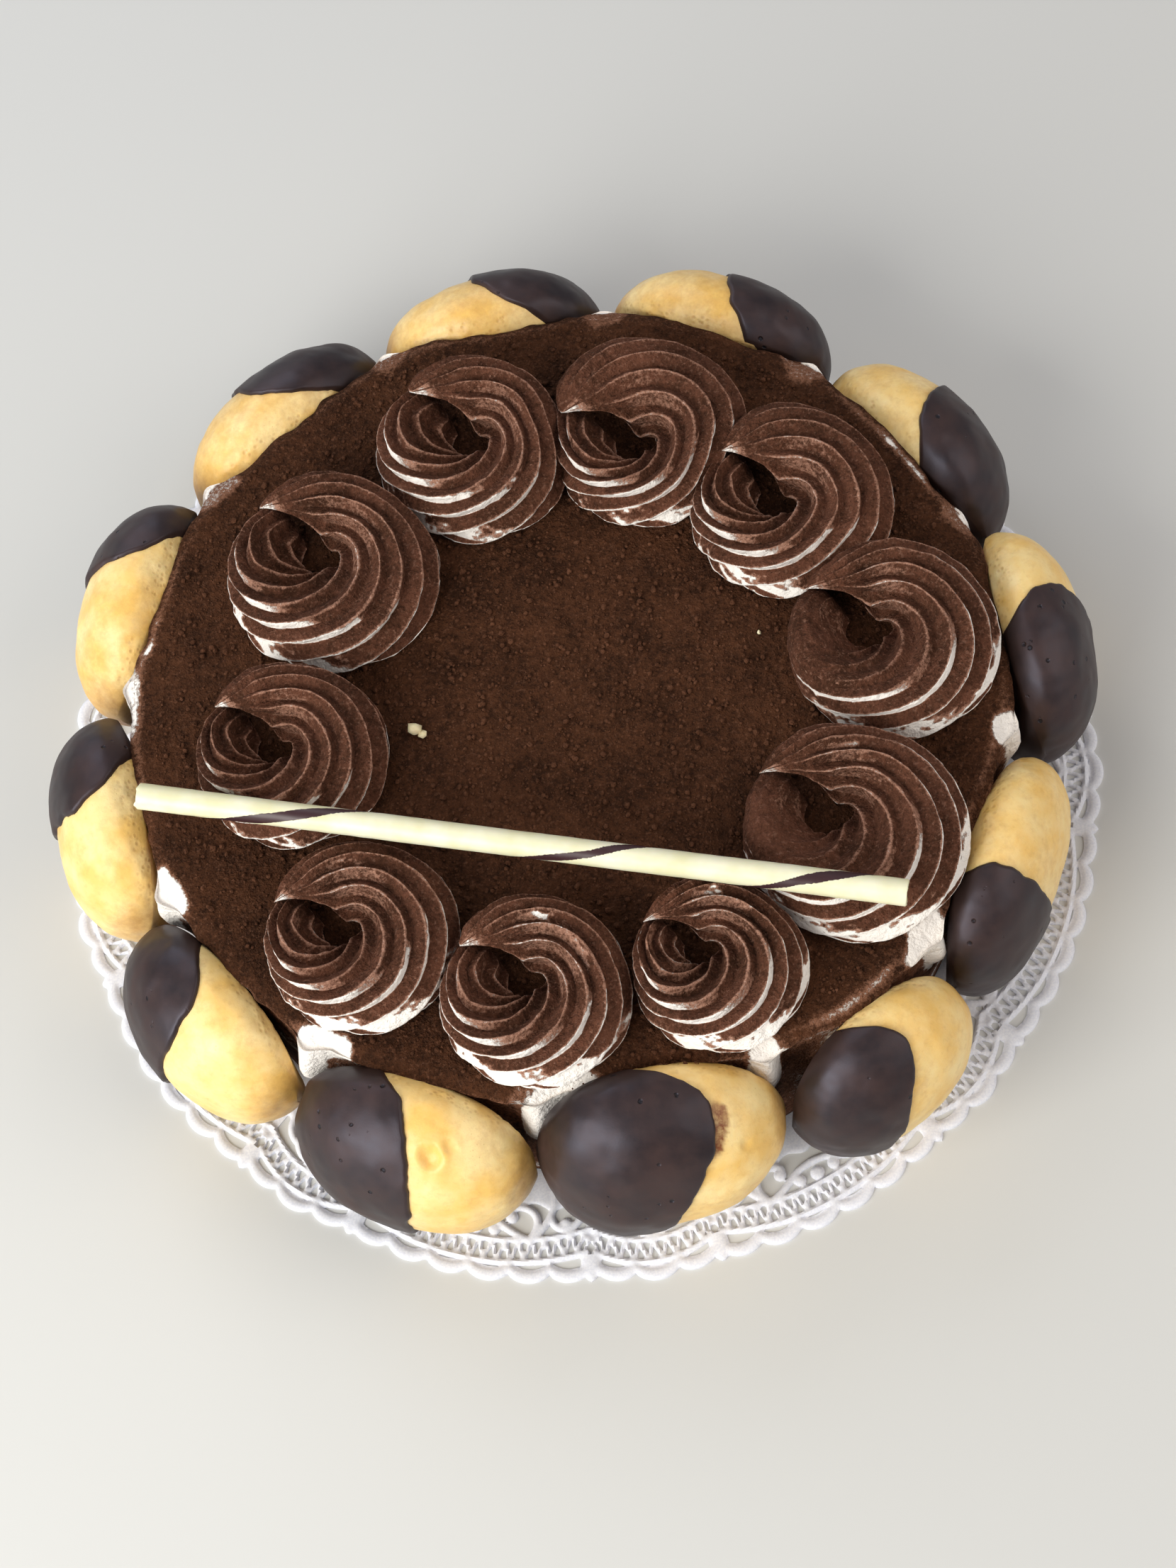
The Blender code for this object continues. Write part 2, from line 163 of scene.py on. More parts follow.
def closed_skin(grid: np.ndarray) -> tuple[np.ndarray, list[np.ndarray]]:
    """A closed surface over a grid: columns run round and join, and each end row closes on a pole.

    Args:
        grid: Points, rows x columns x 3.

    Returns:
        The points with the two poles last, and the faces as one array for each number of corners.
    """
    rows, columns = grid.shape[:2]
    index = np.arange(rows * columns).reshape(rows, columns)
    after = next_column(index)
    quads = np.stack([index[:-1], after[:-1], after[1:], index[1:]], axis=-1).reshape(-1, 4)
    first, last = np.full(columns, rows * columns), np.full(columns, rows * columns + 1)
    caps = np.concatenate([np.stack([first, after[0], index[0]], axis=-1),
                           np.stack([last, index[-1], after[-1]], axis=-1)])
    poles = np.stack([grid[0].mean(axis=0), grid[-1].mean(axis=0)])
    return np.concatenate([grid.reshape(-1, 3), poles]), [quads, caps]


def skin_paint(values: np.ndarray) -> np.ndarray:
    """Numbers on a closed skin's points, from numbers on its grid: each pole has its row's mean."""
    return np.concatenate([values.ravel(), [values[0].mean(), values[-1].mean()]])


def signed_volume(points: np.ndarray, faces: list[np.ndarray]) -> float:
    """The volume inside a closed surface: the sum of a . (b x c) over its triangles.

    Args:
        points: The surface's points.
        faces: Corner numbers, one array for each number of corners.

    Returns:
        Six times the volume, positive where the faces point outwards.
    """
    total = 0.0
    for group in faces:
        corners = points[group]
        for step in range(1, group.shape[1] - 1):
            normal = np.cross(corners[:, step], corners[:, step + 1])
            total += np.einsum("ij,ij->", corners[:, 0], normal)
    return float(total)


def make_mesh(name: str, points: np.ndarray, faces: list[np.ndarray], paint: dict[str, np.ndarray],
              sharp_deg: float = 60.0) -> bpy.types.Object:
    """A mesh object whose faces point outwards.

    Args:
        name: The object's name.
        points: Its points.
        faces: Corner numbers, one array for each number of corners.
        paint: A number for each point, by attribute name.
        sharp_deg: Edges that turn more than this are shaded sharp.

    Returns:
        The object, linked to the scene.
    """
    if signed_volume(points, faces) < 0:
        faces = [group[:, ::-1] for group in faces]
    sizes = np.concatenate([np.full(len(group), group.shape[1]) for group in faces])
    corners = np.concatenate([group.ravel() for group in faces])
    mesh = bpy.data.meshes.new(name)
    mesh.vertices.add(len(points))
    mesh.vertices.foreach_set("co", points.astype(np.float32).ravel())
    mesh.loops.add(len(corners))
    mesh.loops.foreach_set("vertex_index", corners.astype(np.int32))
    mesh.polygons.add(len(sizes))
    mesh.polygons.foreach_set("loop_start", (np.cumsum(sizes) - sizes).astype(np.int32))
    mesh.update(calc_edges=True)
    for title, values in paint.items():
        mesh.attributes.new(title, "FLOAT", "POINT").data.foreach_set("value", values.astype(np.float32))
    mesh.validate()
    mesh.shade_smooth()
    mesh.set_sharp_from_angle(angle=math.radians(sharp_deg))
    made = bpy.data.objects.new(name, mesh)
    bpy.context.scene.collection.objects.link(made)
    return made


def place(piece: bpy.types.Object, material: bpy.types.Material, slot: Slot, *nodes: str) -> bpy.types.Object:
    """Dresses a piece, sets it on the body and reports it.

    Args:
        piece: The mesh object.
        material: Its finish.
        slot: The record's slot for it. Not used.
        nodes: The CAD nodes that it replaces, none for loose things that only the scene has.

    Returns:
        The piece.
    """
    piece.data.materials.append(material)
    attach(piece, BODY)
    if nodes:
        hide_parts(*nodes)
    triangles = sum(len(polygon.vertices) - 2 for polygon in piece.data.polygons)
    logger.info("%s: %d triangles", piece.name, triangles)
    return piece


# Finishes

def colour(code: str) -> tuple[float, float, float, float]:
    """A linear colour from an sRGB one.

    Args:
        code: Its hex code, such as #a1b2c3.

    Returns:
        Red, green, blue and an alpha of 1.
    """
    channels = [int(code[start:start + 2], 16) / 255 for start in (1, 3, 5)]
    linear = [c / 12.92 if c <= 0.04045 else ((c + 0.055) / 1.055) ** 2.4 for c in channels]
    return (*linear, 1.0)


def add_node(tree: bpy.types.NodeTree, kind: str, sockets: dict | None = None, **settings) -> bpy.types.Node:
    """Adds a shader node.

    Args:
        tree: The material's node tree.
        kind: The node's type name, without the word ShaderNode.
        sockets: For each input, by name or number, a constant or the output linked into it.
        settings: The node's own properties.

    Returns:
        The new node.
    """
    made = tree.nodes.new("ShaderNode" + kind)
    for key, value in settings.items():
        setattr(made, key, value)
    for key, value in (sockets or {}).items():
        if isinstance(value, bpy.types.NodeSocket):
            tree.links.new(value, made.inputs[key])
        else:
            made.inputs[key].default_value = value
    return made


def new_material(name: str) -> tuple[bpy.types.Material, bpy.types.NodeTree, bpy.types.Node]:
    """Starts a material.

    Args:
        name: Its name.

    Returns:
        The material, its node tree and its Principled shader.
    """
    made = bpy.data.materials.new(name)
    made.use_nodes = True
    tree = made.node_tree
    return made, tree, tree.nodes["Principled BSDF"]


def pitch(size_mm: float) -> float:
    """A noise scale that gives hills this many millimetres apart on Object coordinates."""
    return 1000.0 / size_mm


@dataclass(frozen=True)
class DustedCream:
    """Cocoa powder sieved over whipped cream.

    The powder is dry, fine and light-absorbing: dead matt, near black-brown where it lies thick, and
    pinkish brown where it is so thin that the cream behind it shows. Steep faces catch none, and stay
    white. The attribute "bare" runs from 0, thick powder, over 0.5, a thin veil, to 1, plain cream, and
    a little further where no speck of powder is left.
    """

    name: str
    thick: str = "#301b0f"
    warm: str = "#51311f"
    veil: str = "#90654f"
    cream: str = "#fbf5ef"
    grain_mm: float = 0.75
    clump_mm: float = 2.4
    drift_mm: float = 16.0
    edge_mm: float = 1.0
    # Painted highlight: lighter specks stand for light caught by the powder's grains; how far apart and how
    # strong.
    glint_mm: float = 1.1
    glint_strength: float = 0.16

    def build(self) -> bpy.types.Material:
        """Makes the material.

        Returns:
            The material: powder, veil and cream, blended by the attribute "bare" with a torn edge.
        """
        made, tree, shader = new_material(self.name)
        place_in = add_node(tree, "TexCoord").outputs["Object"]
        grain = add_node(tree, "TexNoise", {"Vector": place_in, "Scale": pitch(self.grain_mm), "Detail": 3.0,
                                            "Roughness": 0.65}).outputs[0]
        clump = add_node(tree, "TexNoise", {"Vector": place_in, "Scale": pitch(self.clump_mm), "Detail": 4.0,
                                            "Roughness": 0.6}).outputs[0]
        drift = add_node(tree, "TexNoise", {"Vector": place_in, "Scale": pitch(self.drift_mm), "Detail": 3.0,
                                            "Roughness": 0.55}).outputs[0]
        ragged = add_node(tree, "TexNoise", {"Vector": place_in, "Scale": pitch(self.edge_mm), "Detail": 4.0,
                                             "Roughness": 0.75}).outputs[0]
        bare = add_node(tree, "Attribute", attribute_name="bare").outputs["Fac"]
        torn = add_node(tree, "MapRange", {"Value": ragged, "From Min": 0.3, "From Max": 0.7,
                                           "To Min": -0.28, "To Max": 0.28}, clamp=False).outputs[0]
        shown = add_node(tree, "Math", {0: bare, 1: torn}, operation="ADD").outputs[0]
        mottle = add_node(tree, "Math", {0: grain, 1: clump}, operation="ADD").outputs[0]
        mottle = add_node(tree, "Math", {0: mottle, 1: drift}, operation="ADD").outputs[0]
        mottle = add_node(tree, "MapRange", {"Value": mottle, "From Min": 1.25, "From Max": 1.75}).outputs[0]
        powder = add_node(tree, "Mix", {SHARE: mottle, FIRST: colour(self.thick), SECOND: colour(self.warm)},
                          data_type="RGBA").outputs[MIXED]
        # Painted highlight: small specks of the veil's lighter colour stand for light caught by the grains.
        speck = add_node(tree, "TexNoise", {"Vector": place_in, "Scale": pitch(self.glint_mm),
                                            "Detail": 1.0}).outputs[0]
        speck = add_node(tree, "MapRange", {"Value": speck, "From Min": 0.60, "From Max": 0.72,
                                            "To Max": self.glint_strength}).outputs[0]
        powder = add_node(tree, "Mix", {SHARE: speck, FIRST: powder, SECOND: colour(self.veil)},
                          data_type="RGBA").outputs[MIXED]
        thin = add_node(tree, "MapRange", {"Value": shown, "From Min": 0.12, "From Max": 0.6}).outputs[0]
        veiled = add_node(tree, "Mix", {SHARE: thin, FIRST: powder, SECOND: colour(self.veil)},
                          data_type="RGBA").outputs[MIXED]
        open_cream = add_node(tree, "MapRange", {"Value": shown, "From Min": 0.58,
                                                 "From Max": 0.86}).outputs[0]
        final = add_node(tree, "Mix", {SHARE: open_cream, FIRST: veiled, SECOND: colour(self.cream)},
                         data_type="RGBA").outputs[MIXED]
        tree.links.new(final, shader.inputs["Base Color"])
        rough = add_node(tree, "MapRange", {"Value": open_cream, "To Min": 0.95, "To Max": 0.5}).outputs[0]
        tree.links.new(rough, shader.inputs["Roughness"])
        shader.inputs["Specular IOR Level"].default_value = 0.12
        dusty = add_node(tree, "Math", {0: 1.0, 1: open_cream}, operation="SUBTRACT").outputs[0]
        tooth = add_node(tree, "Math", {0: grain, 1: dusty}, operation="MULTIPLY").outputs[0]
        fine = add_node(tree, "Bump", {"Height": tooth, "Strength": 0.9, "Distance": 0.9 * MM}).outputs[0]
        lumpy = add_node(tree, "Bump", {"Height": clump, "Strength": 0.85, "Distance": 1.7 * MM,
                                        "Normal": fine}).outputs[0]
        tree.links.new(lumpy, shader.inputs["Normal"])
        return made


@dataclass(frozen=True)
class BakedSponge:
    """Sponge biscuit, piped and baked on a tray.

    The skin is a dry satin gold with faint darker freckles, fine pinholes and a tan where it met the heat;
    the pinholes and open pores are painted darker, as the shade inside them. The attribute "bake" runs from
    0, pale gold, to 1, tan, and also carries painted shade that darkens the drops at the far side; "crumb"
    runs from 0, skin, to 1, the open pores of a torn edge, and "stain" is 1 where chocolate has bled into the
    sponge.
    """

    name: str = "baked_sponge_skin"
    gold: str = "#f2c46c"
    pale: str = "#fcdf9e"
    tan: str = "#b47a3a"
    pore_shade: str = "#b98443"
    bled: str = "#84441c"
    cloud_mm: float = 13.0
    freckle_mm: float = 2.4
    pore_mm: float = 1.3
    crumb_mm: float = 1.6

    def build(self) -> bpy.types.Material:
        """Makes the material.

        Returns:
            The material, with its freckles, pores, torn crumb and stain.
        """
        made, tree, shader = new_material(self.name)
        place_in = add_node(tree, "TexCoord").outputs["Object"]
        cloud = add_node(tree, "TexNoise", {"Vector": place_in, "Scale": pitch(self.cloud_mm), "Detail": 4.0,
                                            "Roughness": 0.55}).outputs[0]
        freckle = add_node(tree, "TexNoise", {"Vector": place_in, "Scale": pitch(self.freckle_mm),
                                              "Detail": 4.0, "Roughness": 0.7}).outputs[0]
        blend = add_node(tree, "MapRange", {"Value": cloud, "From Min": 0.35, "From Max": 0.65}).outputs[0]
        base = add_node(tree, "Mix", {SHARE: blend, FIRST: colour(self.gold), SECOND: colour(self.pale)},
                        data_type="RGBA").outputs[MIXED]
        # This attribute carries the bake's tan and the painted shade of the drops at the far side.
        bake_and_shade = add_node(tree, "Attribute", attribute_name="bake_and_shade").outputs["Fac"]
        uneven = add_node(tree, "MapRange", {"Value": freckle, "From Min": 0.3, "From Max": 0.75,
                                             "To Min": -0.18, "To Max": 0.22}, clamp=False).outputs[0]
        baked = add_node(tree, "Math", {0: bake_and_shade, 1: uneven}, operation="ADD", use_clamp=True).outputs[0]
        base = add_node(tree, "Mix", {SHARE: baked, FIRST: base, SECOND: colour(self.tan)},
                        data_type="RGBA").outputs[MIXED]
        pores = add_node(tree, "TexVoronoi", {"Vector": place_in,
                                              "Scale": pitch(self.pore_mm)}).outputs["Distance"]
        pinhole = add_node(tree, "MapRange", {"Value": pores, "From Min": 0.2, "From Max": 0.08}).outputs[0]
        crumb = add_node(tree, "Attribute", attribute_name="crumb").outputs["Fac"]
        cells = add_node(tree, "TexVoronoi", {"Vector": place_in,
                                              "Scale": pitch(self.crumb_mm)}).outputs["Distance"]
        open_pore = add_node(tree, "MapRange", {"Value": cells, "From Min": 0.45, "From Max": 0.1,
                                                "To Max": 0.45}).outputs[0]
        open_pore = add_node(tree, "Math", {0: open_pore, 1: crumb}, operation="MULTIPLY").outputs[0]
        rare = add_node(tree, "MapRange", {"Value": cloud, "From Min": 0.56, "From Max": 0.68,
                                           "To Max": 0.2}).outputs[0]
        pinhole = add_node(tree, "Math", {0: pinhole, 1: rare}, operation="MULTIPLY").outputs[0]
        hole = add_node(tree, "Math", {0: open_pore, 1: pinhole}, operation="MAXIMUM").outputs[0]
        # Painted shade: pinholes and open pores are coloured darker, as the shade inside them.
        base = add_node(tree, "Mix", {SHARE: hole, FIRST: base, SECOND: colour(self.pore_shade)},
                        data_type="RGBA").outputs[MIXED]
        stain = add_node(tree, "Attribute", attribute_name="stain").outputs["Fac"]
        soaked = add_node(tree, "MapRange", {"Value": freckle, "From Min": 0.35, "From Max": 0.6,
                                             "To Min": 0.55, "To Max": 1.0}).outputs[0]
        stain = add_node(tree, "Math", {0: stain, 1: soaked}, operation="MULTIPLY").outputs[0]
        base = add_node(tree, "Mix", {SHARE: stain, FIRST: base, SECOND: colour(self.bled)},
                        data_type="RGBA").outputs[MIXED]
        tree.links.new(base, shader.inputs["Base Color"])
        shader.inputs["Roughness"].default_value = 0.44
        shader.inputs["Specular IOR Level"].default_value = 0.5
        shader.inputs["Subsurface Weight"].default_value = 0.12
        shader.inputs["Subsurface Radius"].default_value = (0.004, 0.002, 0.0008)
        shader.inputs["Subsurface Scale"].default_value = 0.5
        dents = add_node(tree, "Bump", {"Height": hole, "Strength": 0.6, "Distance": 0.4 * MM},
                         invert=True).outputs[0]
        skin = add_node(tree, "Bump", {"Height": freckle, "Strength": 0.25, "Distance": 0.4 * MM,
                                       "Normal": dents}).outputs[0]
        tree.links.new(skin, shader.inputs["Normal"])
        return made


@dataclass(frozen=True)
class SetChocolate:
    """Dark chocolate, dipped and left to set.

    It dries to a hard satin, near black with a brown cast. The cocoa butter at its face gives a soft, broad
    highlight, painted with a cool tint that stands for cool window light, and small pits lie in clusters
    where bubbles burst, painted darker as the shade inside them.
    """

    name: str = "set_dark_chocolate"
    dark: str = "#221713"
    warm: str = "#39261e"
    cloud_mm: float = 12.0
    pit_mm: float = 4.0
    pit_shade: str = "#0e0908"
    cool_reflection_tint: str = "#e6e6ff"
    tooth_mm: float = 0.5

    def build(self) -> bpy.types.Material:
        """Makes the material.

        Returns:
            The material, with its clouded gloss, its painted cool highlight tint and its clusters of pits.
        """
        made, tree, shader = new_material(self.name)
        place_in = add_node(tree, "TexCoord").outputs["Object"]
        cloud = add_node(tree, "TexNoise", {"Vector": place_in, "Scale": pitch(self.cloud_mm), "Detail": 4.0,
                                            "Roughness": 0.6}).outputs[0]
        tooth = add_node(tree, "TexNoise", {"Vector": place_in, "Scale": pitch(self.tooth_mm), "Detail": 2.0
                                            }).outputs[0]
        blend = add_node(tree, "MapRange", {"Value": cloud, "From Min": 0.35, "From Max": 0.68}).outputs[0]
        base = add_node(tree, "Mix", {SHARE: blend, FIRST: colour(self.dark), SECOND: colour(self.warm)},
                        data_type="RGBA").outputs[MIXED]
        rough = add_node(tree, "MapRange", {"Value": cloud, "From Min": 0.3, "From Max": 0.7, "To Min": 0.42,
                                            "To Max": 0.56}).outputs[0]
        tree.links.new(rough, shader.inputs["Roughness"])
        shader.inputs["Specular IOR Level"].default_value = 0.55
        # Painted reflection colour: a cool tint on the highlight, standing for cool window light.
        shader.inputs["Specular Tint"].default_value = colour(self.cool_reflection_tint)
        cells = add_node(tree, "TexVoronoi", {"Vector": place_in,
                                              "Scale": pitch(self.pit_mm)}).outputs["Distance"]
        pits = add_node(tree, "MapRange", {"Value": cells, "From Min": 0.20, "From Max": 0.11}).outputs[0]
        some = add_node(tree, "MapRange", {"Value": cloud, "From Min": 0.54, "From Max": 0.57}).outputs[0]
        pits = add_node(tree, "Math", {0: pits, 1: some}, operation="MULTIPLY").outputs[0]
        # Painted shade: the pits are coloured darker, as the shade inside them.
        base = add_node(tree, "Mix", {SHARE: pits, FIRST: base, SECOND: colour(self.pit_shade)},
                        data_type="RGBA").outputs[MIXED]
        tree.links.new(base, shader.inputs["Base Color"])
        pitted = add_node(tree, "Bump", {"Height": pits, "Strength": 1.0, "Distance": 0.5 * MM},
                          invert=True).outputs[0]
        satin = add_node(tree, "Bump", {"Height": tooth, "Strength": 0.12, "Distance": 0.12 * MM,
                                        "Normal": pitted}).outputs[0]
        tree.links.new(satin, shader.inputs["Normal"])
        return made


@dataclass(frozen=True)
class LacePaper:
    """Bleached paper, die-cut and embossed.

    Short pressed fibres give a dead matt, slightly bluish white with a very fine tooth.
    """

    name: str = "embossed_lace_paper"
    white: str = "#eeeff6"
    shade: str = "#dfe1ec"
    fibre_mm: float = 0.6

    def build(self) -> bpy.types.Material:
        """Makes the material.

        Returns:
            The material, with the tooth of its fibres.
        """
        made, tree, shader = new_material(self.name)
        place_in = add_node(tree, "TexCoord").outputs["Object"]
        fibre = add_node(tree, "TexNoise", {"Vector": place_in, "Scale": pitch(self.fibre_mm), "Detail": 3.0
                                            }).outputs[0]
        blend = add_node(tree, "MapRange", {"Value": fibre, "From Min": 0.35, "From Max": 0.65}).outputs[0]
        base = add_node(tree, "Mix", {SHARE: blend, FIRST: colour(self.shade), SECOND: colour(self.white)},
                        data_type="RGBA").outputs[MIXED]
        tree.links.new(base, shader.inputs["Base Color"])
        shader.inputs["Roughness"].default_value = 0.8
        shader.inputs["Specular IOR Level"].default_value = 0.3
        bump = add_node(tree, "Bump", {"Height": fibre, "Strength": 0.2, "Distance": 0.1 * MM}).outputs[0]
        tree.links.new(bump, shader.inputs["Normal"])
        return made


@dataclass(frozen=True)
class RolledWhiteChocolate:
    """White chocolate rolled round a thin dark chocolate sheet.

    Cocoa butter and milk give a pale, slightly greenish cream with a satin shine and some depth. The
    attribute "stripe" is 1 on the dark seam that winds round the roll.
    """

    name: str = "rolled_white_chocolate"
    cream: str = "#f2efd3"
    deep: str = "#e6e2b9"
    seam: str = "#3d2428"
    cloud_mm: float = 9.0
    edge_mm: float = 1.2

    def build(self) -> bpy.types.Material:
        """Makes the material.

        Returns:
            The material, with its dark seam.
        """
        made, tree, shader = new_material(self.name)
        place_in = add_node(tree, "TexCoord").outputs["Object"]
        cloud = add_node(tree, "TexNoise", {"Vector": place_in, "Scale": pitch(self.cloud_mm), "Detail": 3.0
                                            }).outputs[0]
        ragged = add_node(tree, "TexNoise", {"Vector": place_in, "Scale": pitch(self.edge_mm), "Detail": 3.0
                                             }).outputs[0]
        blend = add_node(tree, "MapRange", {"Value": cloud, "From Min": 0.35, "From Max": 0.65}).outputs[0]
        base = add_node(tree, "Mix", {SHARE: blend, FIRST: colour(self.cream), SECOND: colour(self.deep)},
                        data_type="RGBA").outputs[MIXED]
        stripe = add_node(tree, "Attribute", attribute_name="stripe").outputs["Fac"]
        torn = add_node(tree, "MapRange", {"Value": ragged, "From Min": 0.3, "From Max": 0.7, "To Min": -0.15,
                                           "To Max": 0.15}, clamp=False).outputs[0]
        shown = add_node(tree, "Math", {0: stripe, 1: torn}, operation="ADD").outputs[0]
        dark = add_node(tree, "MapRange", {"Value": shown, "From Min": 0.42, "From Max": 0.58}).outputs[0]
        base = add_node(tree, "Mix", {SHARE: dark, FIRST: base, SECOND: colour(self.seam)},
                        data_type="RGBA").outputs[MIXED]
        tree.links.new(base, shader.inputs["Base Color"])
        shader.inputs["Roughness"].default_value = 0.38
        shader.inputs["Subsurface Weight"].default_value = 0.2
        shader.inputs["Subsurface Radius"].default_value = (0.003, 0.002, 0.001)
        shader.inputs["Subsurface Scale"].default_value = 0.5
        return made


@dataclass(frozen=True)
class PaleFloor:
    """A plain matt studio floor."""

    name: str = "pale_floor"
    tone: str = "#cfcfcd"

    def build(self) -> bpy.types.Material:
        """Makes the material.

        Returns:
            The material, one plain tone.
        """
        made, _, shader = new_material(self.name)
        shader.inputs["Base Color"].default_value = colour(self.tone)
        shader.inputs["Roughness"].default_value = 0.7
        return made


# The pieces' sizes, shared with the solids

@dataclass(frozen=True)
class Drop:
    """One sponge drop: its place on the ring, its size, and how much of it the chocolate covers.

    Dip holds the covered share of the width at each of DIP_WRAPS_DEG, where wrap 90 is the drop's
    top, 0 its front and -90 its foot.
    """

    azimuth_deg: float
    width: float
    height: float
    depth: float
    seat: float
    lean_deg: float
    swell: float
    dip: tuple[float, ...]


@dataclass(frozen=True)
class Rosette:
    """One piped rosette: its place on the cake, its radius, its eye in shares of that, and its turn.

    The cocoa missed the sides that face the lee azimuth, most where shelter is 1. Plain is how far the
    ridges on its left are smoothed away, from 0 to 1.
    """

    azimuth_deg: float
    distance: float
    radius: float
    eye: tuple[float, float]
    turn_deg: float
    lee_deg: float
    shelter: float
    plain: float = 0.0

    def middle(self) -> np.ndarray:
        """Its middle on the cake's top, x and y."""
        angle = math.radians(self.azimuth_deg)
        return self.distance * np.array([math.cos(angle), math.sin(angle)])


DIP_WRAPS_DEG = (-125, -75, -25, 25, 75, 125)

DROPS = (
    Drop(123.6, 0.0662, 0.0572, 0.0289, 0.1170, 3.2, 0.01, (0.49, 0.51, 0.54, 0.57, 0.58, 0.17)),
    Drop(155.2, 0.0639, 0.0589, 0.0279, 0.1176, 1.3, 0.04, (0.53, 0.53, 0.51, 0.49, 0.44, 0.17)),
    Drop(185.7, 0.0618, 0.0587, 0.0277, 0.1180, 0.0, 0.04, (0.36, 0.37, 0.40, 0.47, 0.52, 0.27)),
    Drop(214.3, 0.0603, 0.0576, 0.0293, 0.1183, 0.7, 0.02, (0.46, 0.48, 0.49, 0.51, 0.53, 0.23)),
    Drop(243.4, 0.0639, 0.0575, 0.0310, 0.1181, 3.8, 0.01, (0.52, 0.54, 0.56, 0.57, 0.50, 0.28)),
    Drop(273.4, 0.0642, 0.0594, 0.0301, 0.1187, 9.4, 0.16, (0.26, 0.30, 0.39, 0.60, 0.74, 0.34)),
    Drop(301.1, 0.0546, 0.0575, 0.0276, 0.1195, 0.4, 0.05, (0.20, 0.21, 0.24, 0.38, 0.58, 0.29)),
    Drop(329.5, 0.0661, 0.0575, 0.0241, 0.1187, 3.8, 0.04, (0.46, 0.43, 0.41, 0.39, 0.37, 0.27)),
    Drop(360.8, 0.0655, 0.0601, 0.0266, 0.1185, 0.0, 0.04, (0.41, 0.43, 0.46, 0.51, 0.58, 0.36)),
    Drop(391.2, 0.0647, 0.0568, 0.0294, 0.1182, 1.3, 0.06, (0.57, 0.59, 0.60, 0.59, 0.51, 0.27)),
    Drop(421.8, 0.0665, 0.0589, 0.0275, 0.1186, 0.5, 0.04, (0.56, 0.56, 0.56, 0.53, 0.46, 0.30)),
    Drop(452.6, 0.0650, 0.0577, 0.0273, 0.1174, 2.8, 0.05, (0.54, 0.55, 0.56, 0.55, 0.50, 0.20)),
)

ROSETTES = (
    Rosette(144.4, 0.0716, 0.0298, (-0.14, 0.24), -9, 215, 0.70),
    Rosette(101.6, 0.0750, 0.0282, (-0.05, 0.16), -9, 232, 0.62),
    Rosette(64.8, 0.0785, 0.0292, (-0.17, -0.08), 9, 262, 0.58),
    Rosette(31.2, 0.0810, 0.0290, (-0.17, 0.07), -13, 235, 0.68),
    Rosette(-2.6, 0.0885, 0.0294, (-0.19, 0.18), 2, 318, 0.85, 0.9),
    Rosette(-39.9, 0.0890, 0.0305, (-0.19, 0.24), 2, 308, 0.95, 0.9),
    Rosette(-72.3, 0.0915, 0.0232, (-0.20, 0.24), 8, 285, 0.90),
    Rosette(-102.7, 0.0890, 0.0255, (-0.12, 0.16), 3, 252, 1.00),
    Rosette(-133.5, 0.0895, 0.0260, (-0.26, 0.14), 9, 268, 0.85),
    Rosette(-171.9, 0.0755, 0.0262, (-0.22, 0.15), -4, 250, 0.35),
)


